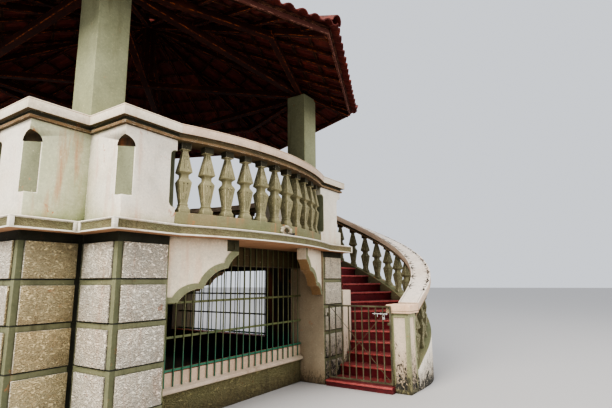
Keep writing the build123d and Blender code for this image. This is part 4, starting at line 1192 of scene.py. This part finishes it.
def roof_side_battens():
    """The battens of one roof side, under its tiles."""
    place, run, half_width = tile_slope()
    battens = []
    at = 0.14
    while 2 * (run - at) * half_width > 0.3:
        battens.append(block((0.045, 2 * (run - at) * half_width - 0.03, 0.028), (at, 0, 0.0155)))
        at += TILE_EXPOSED
    one = join(battens, "batten_set")
    soften(one, 0.002, 1)
    one.data.transform(place)
    return one


def tile_roof():
    """Eight tiled sides, each a piece of its own, and the battens under them."""
    one = roof_side_tiles()
    smooth(one, 40)
    one.data.materials.append(CLAY)
    battens = roof_side_battens()
    sides, sets = [], []
    for index in range(ROOF_SIDES):
        turn = turned(index, ROOF_SIDES)
        sides.append(copy_of(one, f"roof_tiles_{index}", turn))
        sets.append(copy_of(battens, f"battens_{index}", turn))
    for spare in (one, battens):
        bpy.data.objects.remove(spare)
    for side in sides:
        stands_for(side, "roof_tiles")
    added(join(sets, "roof_battens"), BATTEN)


def tile_hips():
    """Half-round cap tiles that overlap up each hip, and the crown over their meeting."""
    cap = barrel_tile("hip_cap", 0.11, 0.09, 0.014, 0.44, 0.0)
    exposed, lift = 0.37, 0.0915
    slope = math.atan(HIP_RISE)
    start, stop = EAVE_RADIUS + TILE_OVERHANG - 0.04, 0.2
    up = Vector((-math.cos(slope), 0, math.sin(slope)))
    along = Vector((0, -1, 0))
    out = up.cross(along)
    foot = Vector((start, 0, ROOF_PEAK - HIP_RISE * start)) + out * lift
    caps = [laid_tile(cap, axes(up, along, out, foot + up * exposed * index))
            for index in range(int((start - stop) / math.cos(slope) / exposed))]
    bpy.data.objects.remove(cap)
    one = join(caps, "hip_caps")
    smooth(one, 40)
    one.data.materials.append(CLAY)
    stands_for(all_round(one, "hip_caps", ROOF_SIDES), "hip_tiles")
    tone_attribute(worn("roof_crown", CLAY, 0.02), 0.5, 0.6)


def dress_grilles():
    """Round bars with flat rails welded along their backs, in the four bays."""
    low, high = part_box("grilles")
    radius, pitch, count = 0.0085, 0.138, 23
    bar_y = -PIER_FACE + BAY_RECESS - 2 * radius
    bars = []
    for index in range(count):
        place = Matrix.Translation(((index - (count - 1) / 2) * pitch, bar_y, (high.z + low.z) / 2))
        bars.append(rod(12, radius, high.z - low.z, place))
    for height in (0.625, 1.007, 1.417):
        bars.append(block((2 * BAY_HALF, 0.007, 0.03), (0, bar_y + radius + 0.0035, height)))
    one = join(bars, "grille_bars")
    soften(one, 0.001, 1, 50)
    one.data.materials.append(GRILLE_IRON)
    stands_for(all_round(one, "grille_bars"), "grilles")


# Height up the baluster, as a share of the whole, and half its width there
BALUSTER_HEIGHT = 0.84
BALUSTER_SECTIONS = (
    (0.055, 0.066), (0.065, 0.060), (0.095, 0.050), (0.105, 0.046), (0.112, 0.050), (0.125, 0.050),
    (0.135, 0.043), (0.375, 0.070), (0.43, 0.076), (0.44, 0.076), (0.475, 0.060), (0.485, 0.054),
    (0.50, 0.046), (0.545, 0.046), (0.56, 0.060), (0.578, 0.078), (0.59, 0.078), (0.89, 0.030),
    (0.90, 0.034), (0.905, 0.058), (1.0, 0.060),
)


def baluster(name):
    """A cast baluster, foot at the origin: foot, vase, collar, flared shaft and cap."""
    share, half = BALUSTER_SECTIONS[0]
    level = share * BALUSTER_HEIGHT
    piece = named(block((2 * half, 2 * half, level), (0, 0, level / 2)), name)
    for share, wide in BALUSTER_SECTIONS[1:]:
        edit(piece, lambda middle, normal: normal.z > 0.9 and middle.z > level - 0.001)
        rise = share * BALUSTER_HEIGHT - level
        bpy.ops.mesh.extrude_region_move(TRANSFORM_OT_translate={"value": (0, 0, rise)})
        level = share * BALUSTER_HEIGHT
        bpy.ops.transform.resize(value=(wide / half, wide / half, 1), center_override=(0, 0, level))
        object_mode()
        half = wide
    return piece


def groove_cutter(start, end, width, depth):
    """A thin bar between two points on the front of a baluster, to cut a groove."""
    along = (end - start).normalized()
    across = along.cross(Vector((0, -1, 0))).normalized()
    bpy.ops.mesh.primitive_cube_add(size=1)
    return placed(axes(across, along.cross(across), along, (start + end) / 2)
                  @ Matrix.Diagonal((width, 2 * depth, (end - start).length, 1)))


def flute(piece):
    """On each face: two grooves up the flared shaft, and two notches with grooves below on the vase."""
    def on_front(side, out, share):
        return Vector((side, -out, share * BALUSTER_HEIGHT))

    bars = []
    for sign in (-1, 1):
        bars.append(groove_cutter(on_front(sign * 0.027, 0.0765, 0.602), on_front(sign * 0.010, 0.031, 0.885),
                                  0.007, 0.006))
        bars.append(groove_cutter(on_front(sign * 0.022, 0.072, 0.395), on_front(sign * 0.013, 0.046, 0.165),
                                  0.006, 0.004))
        bpy.ops.mesh.primitive_cone_add(vertices=3, radius1=0.013, radius2=0.011, depth=0.03)
        bars.append(placed(Matrix.Translation(on_front(sign * 0.022, 0.073, 0.413)) @ LAID_DOWN))
    carve(piece, all_round(join(bars, "flute_cutters"), "flute_cutters"), use_self=True)
    smooth(piece, 28)


def shells(node):
    """Each loose solid of a node: its lowest and highest corner and its turn on plan."""
    edit(cad_copy(node))
    bpy.ops.mesh.separate(type="LOOSE")
    object_mode()
    found = []
    for piece in list(bpy.context.selected_objects):
        spans = list(zip(*[vertex.co for vertex in piece.data.vertices]))
        low, high = Vector([min(span) for span in spans]), Vector([max(span) for span in spans])
        wide = max(piece.data.polygons, key=lambda face: face.area if abs(face.normal.z) < 0.05 else 0)
        found.append((low, high, math.atan2(wide.normal.y, wide.normal.x)))
        bpy.data.objects.remove(piece)
    return sorted(found, key=lambda item: (round(item[0].x, 3), round(item[0].y, 3)))


def place_balusters():
    """Balusters of the bays and of the stair, in the places of the plain ones."""
    one = baluster("baluster")
    soften(one, 0.0025, 1)
    flute(one)
    one.data.materials.clear()
    one.data.materials.append(BALUSTER_GREEN)
    # The caps take painted shade.
    paint_faces(one, SHADED_BALUSTER_CAP, lambda middle, normal: middle.z > BALUSTER_HEIGHT - 0.075)
    # The stair's balusters take the darker copy of the paint, as painted shade.
    nodes = (("balusters", "bay_balusters", BALUSTER_GREEN),
             ("stair_balusters", "stair_balusters_cast", SHADED_STAIR_BALUSTER))
    for node, name, paint in nodes:
        one.data.materials[0] = paint
        copies = []
        for low, high, corner in shells(node):
            place = Matrix.Translation(((low.x + high.x) / 2, (low.y + high.y) / 2, low.z))
            scale = Matrix.Diagonal((1, 1, (high.z - low.z) / BALUSTER_HEIGHT, 1))
            place = place @ Matrix.Rotation(corner, 4, "Z") @ scale
            copies.append(copy_of(one, f"{name}_{len(copies)}", place))
        stands_for(join(copies, name), node)
    bpy.data.objects.remove(one)


def dress_gate():
    """The gate's leaf, its hinge pins, and the bolt and padlock on the leaf."""
    worn("gate_leaf", GATE_IRON, 0.0015, "gate")
    worn("gate_hinges", GATE_IRON, 0.0015)
    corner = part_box("gate_leaf")[0]

    def on_leaf(out, along, height):
        return Vector((corner.x - out, corner.y + along, height))

    pieces = [rod(14, 0.007, 0.25, Matrix.Translation(on_leaf(0.006, 0.17, 1.16)) @ LAID_DOWN)]
    for along in (0.06, 0.15, 0.26):
        pieces.append(block((0.022, 0.012, 0.03), on_leaf(0.004, along, 1.16)))
    pieces.append(rod(12, 0.005, 0.05, Matrix.Translation(on_leaf(0.012, 0.21, 1.138))))
    bolt = join(pieces, "gate_bolt")
    soften(bolt, 0.0012)
    added(bolt, PALE_STEEL, "gate")
    lock = block((0.016, 0.042, 0.036), on_leaf(0.016, 0.105, 1.094))
    soften(lock, 0.004, 3)
    shackle = ring(0.017, 0.0035, Matrix.Translation(on_leaf(0.016, 0.105, 1.118))
                   @ Matrix.Rotation(math.pi / 2, 4, "Y") @ Matrix.Diagonal((1.9, 1, 1, 1)))
    smooth(shackle, 60)
    added(join([lock, shackle], "gate_padlock"), PALE_STEEL, "gate")


def make_camera():
    """The photograph's viewpoint."""
    data = bpy.data.cameras.new("camera")
    data.sensor_fit = "HORIZONTAL"
    data.sensor_width = SENSOR
    data.lens = FOCAL_PIXELS / IMAGE_WIDTH * SENSOR
    camera = bpy.data.objects.new("camera", data)
    bpy.context.collection.objects.link(camera)
    ahead = Vector((math.cos(CAMERA_YAW), math.sin(CAMERA_YAW), 0))
    right = Vector((math.sin(CAMERA_YAW), -math.cos(CAMERA_YAW), 0))
    sight = ahead * math.cos(CAMERA_TILT) + UP * math.sin(CAMERA_TILT)
    head = UP * math.cos(CAMERA_TILT) - ahead * math.sin(CAMERA_TILT)
    side = right * math.cos(CAMERA_ROLL) + head * math.sin(CAMERA_ROLL)
    top = head * math.cos(CAMERA_ROLL) - right * math.sin(CAMERA_ROLL)
    camera.matrix_world = axes(side, top, -sight, CAMERA_PLACE)
    bpy.context.scene.camera = camera


def soft_light(name, place, size, power, colour):
    """A large soft lamp aimed at the middle of the building."""
    data = bpy.data.lights.new(name, "AREA")
    data.shape = "DISK"
    data.size = size
    data.energy = power
    data.color = colour
    lamp = bpy.data.objects.new(name, data)
    bpy.context.collection.objects.link(lamp)
    aim = Vector((0, 0, 2.5)) - Vector(place)
    lamp.rotation_euler = aim.to_track_quat("-Z", "Y").to_euler()
    lamp.location = place


def make_studio():
    """A pale floor, a pale surround that is brighter overhead, and soft lamps."""
    bpy.ops.mesh.primitive_plane_add(size=200, location=(0, 0, 0))
    floor = named(bpy.context.active_object, "studio_floor")
    material, tree, shader = new_material("studio_floor")
    shader.inputs["Base Color"].default_value = (0.42, 0.405, 0.39, 1)
    shader.inputs["Roughness"].default_value = 0.85
    floor.data.materials.append(material)
    world = bpy.data.worlds.new("studio")
    bpy.context.scene.world = world
    world.use_nodes = True
    tree = world.node_tree
    back = tree.nodes["Background"]
    height = part_of(tree, tree.nodes.new("ShaderNodeTexCoord").outputs["Generated"], "Z")
    strength = tree.nodes.new("ShaderNodeMix")
    set_input(tree, strength.inputs[0], tree.nodes.new("ShaderNodeLightPath").outputs["Is Camera Ray"])
    set_input(tree, strength.inputs[2], between(tree, height, -0.05, 0.8, 0.27, 1.35))
    set_input(tree, strength.inputs[3], 0.95)
    tree.links.new(strength.outputs[0], back.inputs["Strength"])
    back.inputs["Color"].default_value = (0.86, 0.9, 0.97, 1)
    soft_light("key_lamp", (-13, -4, 14), 9, 5200, (1.0, 0.96, 0.9))
    soft_light("fill_lamp", (4, -18, 9), 12, 1500, (1.0, 0.97, 0.94))
    bpy.context.scene.view_settings.look = "AgX - Medium High Contrast"


make_camera()
make_studio()
dress_piers()
dress_platform()
dress_parapets()
dress_bays()
dress_stair()
dress_roof_timbers()
tile_roof()
tile_hips()
dress_grilles()
place_balusters()
dress_gate()
make_drain()
